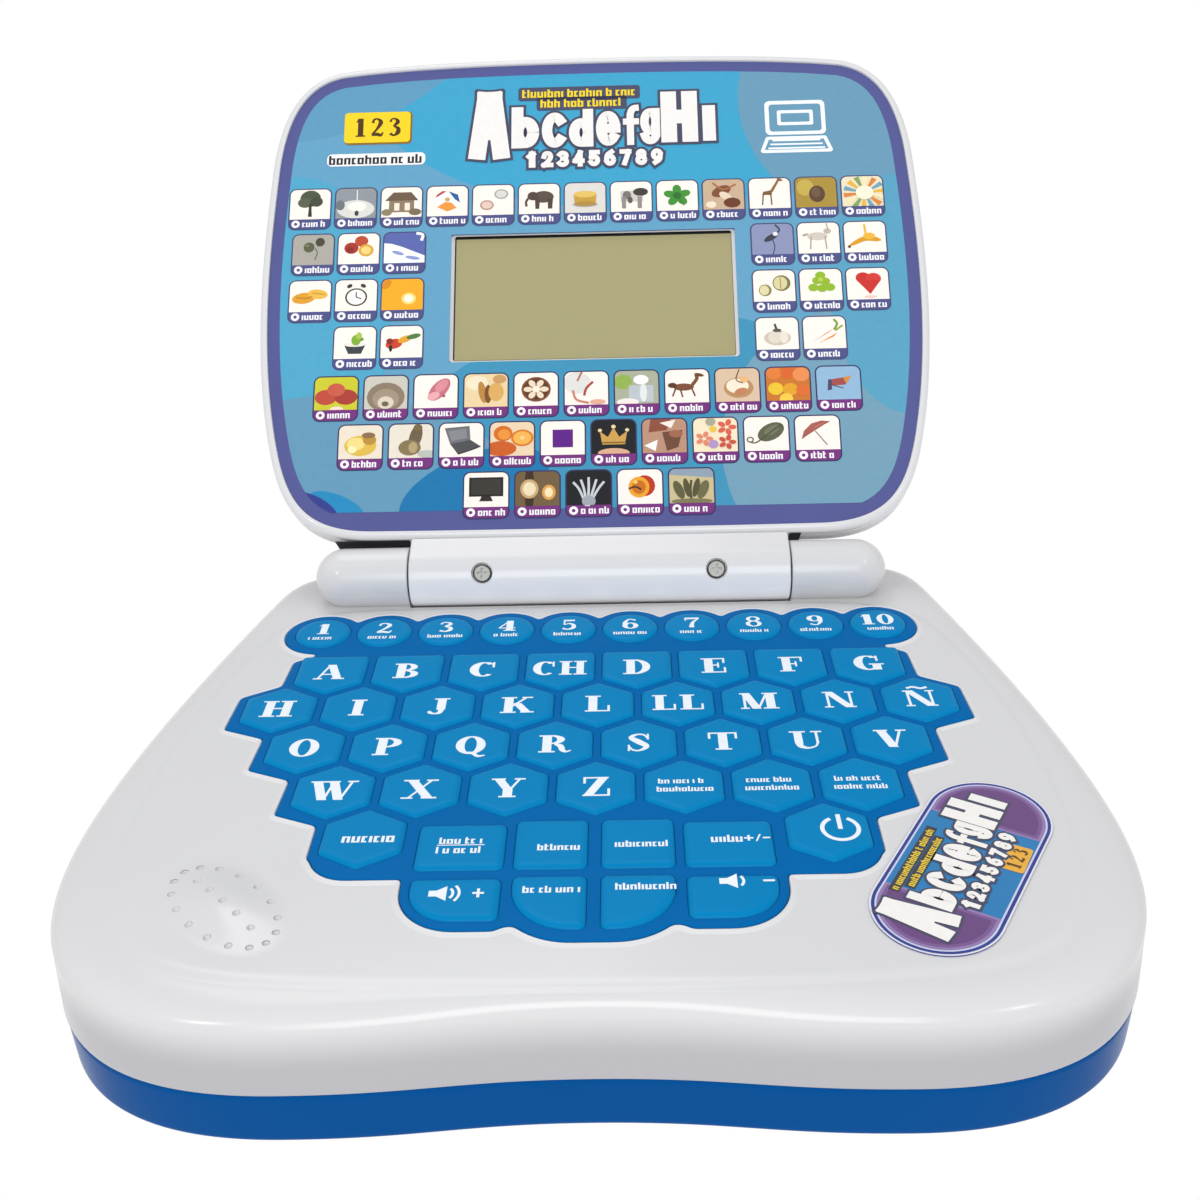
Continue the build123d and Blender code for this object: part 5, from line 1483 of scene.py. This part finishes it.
# Strokes of plain block characters in a box one wide and one high.
BLOCKS = {
    "A": [[(0, 0), (0.32, 1)], [(1, 0), (0.68, 1)], [(0.32, 1), (0.68, 1)], [(0.2, 0.36), (0.8, 0.36)]],
    "b": [[(0, 0), (0, 1)], arc(0.5, 0.34, 0.5, 0.34)],
    "c": [arc(0.55, 0.5, 0.55, 0.5, 48, 312)],
    "d": [[(1, 0), (1, 1)], arc(0.5, 0.34, 0.5, 0.34)],
    "e": [arc(0.5, 0.5, 0.5, 0.5, 0, 315), [(0.1, 0.5), (1, 0.5)]],
    "f": [[(0.4, 0), (0.4, 0.75)], arc(0.95, 0.75, 0.55, 0.25, 90, 180), [(0, 0.6), (0.95, 0.6)]],
    "g": [arc(0.5, 0.66, 0.5, 0.34), [(1, 1), (1, 0.25)], arc(0.5, 0.25, 0.5, 0.25, -160, 0)],
    "H": [[(0, 0), (0, 1)], [(1, 0), (1, 1)], [(0, 0.5), (1, 0.5)]],
    "i": [[(0.5, 0), (0.5, 0.68)], [(0.5, 0.84), (0.5, 1)]],
    "1": [[(0.55, 0), (0.55, 1)], [(0.15, 0.8), (0.55, 1)]],
    "2": [spline([(0, 0.72), (0.2, 0.97), (0.75, 0.97), (0.95, 0.7), (0.65, 0.35), (0, 0)]),
          [(0, 0), (1, 0)]],
    "3": [arc(0.45, 0.76, 0.5, 0.24, -90, 150), arc(0.45, 0.26, 0.55, 0.26, -150, 90)],
    "4": [[(0.72, 0), (0.72, 1)], [(0.72, 1), (0, 0.3)], [(0, 0.3), (1, 0.3)]],
    "5": [[(0.95, 1), (0.1, 1)], [(0.1, 1), (0.1, 0.55)], arc(0.45, 0.32, 0.52, 0.32, -150, 130)],
    "6": [arc(0.5, 0.32, 0.5, 0.32), spline([(0, 0.32), (0.15, 0.75), (0.75, 1)])],
    "7": [[(0, 1), (1, 1)], [(0.97, 1), (0.35, 0)]],
    "8": [arc(0.5, 0.76, 0.42, 0.24), arc(0.5, 0.27, 0.5, 0.27)],
    "9": [arc(0.5, 0.68, 0.5, 0.32), spline([(1, 0.68), (0.85, 0.25), (0.25, 0)])],
}


def block_words(art, rows, pen, edge, scale=1.0):
    """Bold light characters with a dark edge. A row holds characters with their boxes; pen is the stroke
    as a share of a box's height, edge the dark border in millimetres."""
    for code, border, level in (("#454860", edge, 9), ("#ece9e6", 0.0, 13)):
        for row in rows:
            for k, (character, x0, x1, y0, y1) in enumerate(row):
                slim = 0.95 if character in "i1" else 0.43
                width = min(pen * (y1 - y0), slim * (x1 - x0 - 2 * edge)) * scale
                inset_by = edge * scale + width / 2
                left, right, low, high = (x0 * scale + inset_by, x1 * scale - inset_by,
                                          y0 * scale + inset_by, y1 * scale - inset_by)
                for n, stroke in enumerate(BLOCKS[character]):
                    points = [(left + px * (right - left), low + py * (high - low)) for px, py in stroke]
                    ends = [np.array(points[0]), np.array(points[-1])]
                    if np.linalg.norm(ends[0] - ends[1]) > 0.01:
                        reach = width / 2 + border * scale
                        first, last = ends[0] - points[1], ends[1] - points[-2]
                        points[0] = tuple(ends[0] + first / np.linalg.norm(first) * reach)
                        points[-1] = tuple(ends[1] + last / np.linalg.norm(last) * reach)
                    art.level = level + 0.2 * (k % 3) + 0.05 * n
                    art.line(code, points, width + 2 * border * scale)


# Boxes, in millimetres about the title's middle, of nine letters and of the digits under them.
TITLE_LETTERS = [("A", -39.2, -25.4, -4.1, 21.1), ("b", -26.4, -16.4, -0.6, 15.4),
                 ("c", -17.2, -8.2, -0.7, 13.2),
                 ("d", -9.0, 0.0, -0.6, 14.2), ("e", -0.8, 8.2, -0.5, 13.3), ("f", 7.4, 14.0, -0.4, 15.2),
                 ("g", 12.6, 20.2, -0.3, 13.9), ("H", 18.9, 31.6, 0.2, 19.6), ("i", 31.0, 37.4, 0.4, 14.4)]
TITLE_DIGITS = [(character, -22.0 + 4.7 * k, -16.8 + 4.7 * k, -7.4, -0.2)
                for k, character in enumerate("123456789")]
TITLE_PEN, TITLE_EDGE = 0.28, 0.8


def title_piece(name, scale, place):
    art = Art()
    block_words(art, [TITLE_LETTERS, TITLE_DIGITS], TITLE_PEN, TITLE_EDGE, scale)
    return art.put(name, place)


# ---------------------------------------------------------------- deck badge
BADGE_X, BADGE_Y, BADGE_ANGLE = 77.3, -82.0, 60.0
BADGE_LENGTH, BADGE_WIDTH = 61.0, 27.0
BADGE_TOP = DECK + 0.3


def slot_points(length, width, steps=32):
    half, radius = (length - width) / 2, width / 2
    return np.vstack((circle(half, 0, radius, steps, start=-90, stop=90),
                      circle(-half, 0, radius, steps, start=90, stop=270)))


def badge_artwork():
    art = Art()
    art.fill("#dcdce6", slot_points(BADGE_LENGTH, BADGE_WIDTH))
    art.lift().fill("#2c3a86", slot_points(BADGE_LENGTH - 0.8, BADGE_WIDTH - 0.8))
    art.lift().fill("#c7cbe6", slot_points(BADGE_LENGTH - 2.2, BADGE_WIDTH - 2.2))
    middle = slot_points(BADGE_LENGTH - 3.0, BADGE_WIDTH - 3.0)
    art.lift().fill("#2277b0", middle)
    ends = [("#8d76a8", 0.0), ("#77568e", 0.7), ("#66437a", 1.5)]
    for k, (code, shrink) in enumerate(ends):
        outline = slot_points(BADGE_LENGTH - 3.0 - 2 * shrink, BADGE_WIDTH - 3.0 - 2 * shrink)
        art.level = 5 + k
        for side in (-1, 1):
            art.fill(code, clipped([tuple(p) for p in outline], side, 0, -14.0 - shrink))
    art.level = 9
    for k, width in enumerate((24.0, 19.0)):
        y = 9.6 - 2.5 * k
        art.level = 9
        art.fill("#3a3a44", box_points(-4 - width / 2, -4 + width / 2, y - 1.15, y + 1.15))
        art.lift()
        greeked(art, "#e6c62a", -4, y, width - 1.0, 1.6, 900 + k)
    art.level = 9
    tag = turned(box_points(-4.4, 4.4, -2.4, 2.4), 6.0, -9.4, 2)
    art.fill("#e2a93a", rounded([tuple(p) for p in tag], 0.7))
    for k, character in enumerate("123"):
        art.level = 11
        write_text(art, "#5a3c14", character, 6.0 + (k - 1) * 2.5, -9.4, 3.0, 0.9)
    return art


# ---------------------------------------------------------------- assembly
top = base_top()
dome = speaker_dome()
cut_speaker(top, 1.2)
cut_speaker(dome)
settle(placed(top, BASE_FRAME, 38, [DECK_WHITE_PAINTED_SHADE]), "base", "white_plastic", "base_top_shell")
settle(placed(dome, BASE_FRAME, 38, [DECK_WHITE_PAINTED_SHADE]), "base", "white_plastic")
settle(placed(base_bottom(), BASE_FRAME, 38, [BLUE]), "base", "blue_plastic", "base_bottom_shell")
settle(placed(keypad_sheet(), BASE_FRAME, 45, [SHEET]), "base", "keypad_blue", "keypad_sheet")

# Low white rim around the keypad: distance out from it and height over the deck.
RIM_SECTION = ((0.05, -0.3), (0.05, 0.15), (0.2, 0.32), (0.45, 0.38), (0.75, 0.3), (1.1, 0.12), (1.5, 0.01),
               (1.5, -0.3))
rim = loft("keypad_rim", [ring(moved_out(PAD, d), DECK + z) for d, z in RIM_SECTION],
           BASE_FRAME, closed=True, smooth=60.0, materials=[WHITE])
settle(rim, "base", "white_plastic")

for node in frame["nodes"]:
    if node.startswith("key_"):
        settle(cap("cap_" + node[4:], *key_corners(node)), node, "key_blue", node)
settle(number_caps(), "number_keys", "key_blue", "number_keys")
LEGEND_FRAME = BASE_FRAME @ moved(0, 0, KEY_TOP + 0.01)
for node, art in key_art().items():
    settle(art.put("legend_" + node.replace("key_", "", 1), LEGEND_FRAME), node, "key_blue")

settle(placed(lid_front(), LID_FRAME, 38, [WHITE]), "lid", "white_plastic", "lid_front_shell")
settle(placed(lid_rear(), LID_FRAME, 38, [REAR_WHITE_PAINTED_LIGHT]), "lid", "white_plastic", "lid_rear_shell")
settle(placed(lid_sheet(), LID_FRAME, 38, [LABEL]), "lid", "printed_label", "lid_label")
LABEL_FRAME = LID_FRAME @ moved(0, 0, LABEL_PLANE)
settle(lid_artwork().put("lid_pictures", LABEL_FRAME), "lid", "printed_label")
settle(screen_mask().put("screen_mask", LABEL_FRAME @ moved(0, 0, -SCREEN_SINK)), "lid", "lcd_glass")
settle(title_piece("lid_title", 1.035, LABEL_FRAME @ moved(0.6, 138.0)), "lid", "printed_label")

# Painted shade: dark strips for the shadowed gap between the lid and the outer barrels, longer on the left:
# their ends, and their place in the lid.
SHADE_V, SHADE_THICKNESS, SHADE_FROM, SHADE_TO = 9.9, 0.12, -6.8, 3.4
SHADES = {"hinge_shade_left": (-76.0, -BARREL_HALF - 0.8),
          "hinge_shade_right": (BARREL_HALF + 0.8, BARREL_HALF + 4.0)}
for name, (x0, x1) in SHADES.items():
    strip = loft(name, [ring(box_points(x0, x1, SHADE_V, SHADE_V + SHADE_THICKNESS), w)
                        for w in (SHADE_FROM, SHADE_TO)], LID_FRAME, smooth=30, materials=[PAINTED_GAP_SHADE])
    settle(strip, "lid", "white_plastic")

badge_frame = BASE_FRAME @ moved(BADGE_X, BADGE_Y, BADGE_TOP)
badge_frame = badge_frame @ Matrix.Rotation(math.radians(BADGE_ANGLE), 4, "Z")
settle(badge_artwork().put("badge_print", badge_frame), "base", "printed_label")
settle(title_piece("badge_word", 0.66, badge_frame @ moved(0, -3.0)), "base", "printed_label")

# ---------------------------------------------------------------- surroundings and light
FLOOR_HALF = 6000
corners = [(x, y, 0) for x, y in box_points(-FLOOR_HALF, FLOOR_HALF, -FLOOR_HALF, FLOOR_HALF)]
floor = make("floor", corners, [(0, 1, 2, 3)], smooth=None)
paper = bpy.data.materials.new("white_sweep")
paper.use_nodes = True
glow = paper.node_tree.nodes.new("ShaderNodeEmission")
glow.inputs["Strength"].default_value = 1.0
surface = paper.node_tree.nodes["Material Output"].inputs["Surface"]
paper.node_tree.links.new(glow.outputs["Emission"], surface)
floor.data.materials.append(paper)
floor.location.z = -0.0005

world = bpy.data.worlds.new("soft_room")
scene.world = world
world.use_nodes = True
background = world.node_tree.nodes["Background"]
background.inputs["Color"].default_value = (0.985, 0.99, 1.0, 1.0)
background.inputs["Strength"].default_value = 0.66


def lamp(name, place, towards, size, power):
    """Area light in metres, aimed at a point."""
    data = bpy.data.lights.new(name, "AREA")
    data.shape = "RECTANGLE"
    data.size, data.size_y = size
    data.energy = power
    obj = bpy.data.objects.new(name, data)
    obj.location = place
    obj.rotation_euler = (Vector(towards) - Vector(place)).to_track_quat("-Z", "Y").to_euler()
    scene.collection.objects.link(obj)


lamp("front_soft", (0.0, -1.25, 0.78), (0, 0, 0.06), (0.7, 0.7), 8.0)
lamp("back_soft", (-0.2, 0.55, 1.1), (0, 0, 0.03), (0.6, 0.6), 3.2)
lamp("left_window", (-0.6, -0.75, 0.9), (0, -0.05, 0.03), (0.06, 0.12), 1.3)
lamp("right_window", (0.65, -0.6, 0.9), (0, -0.05, 0.03), (0.05, 0.1), 0.8)
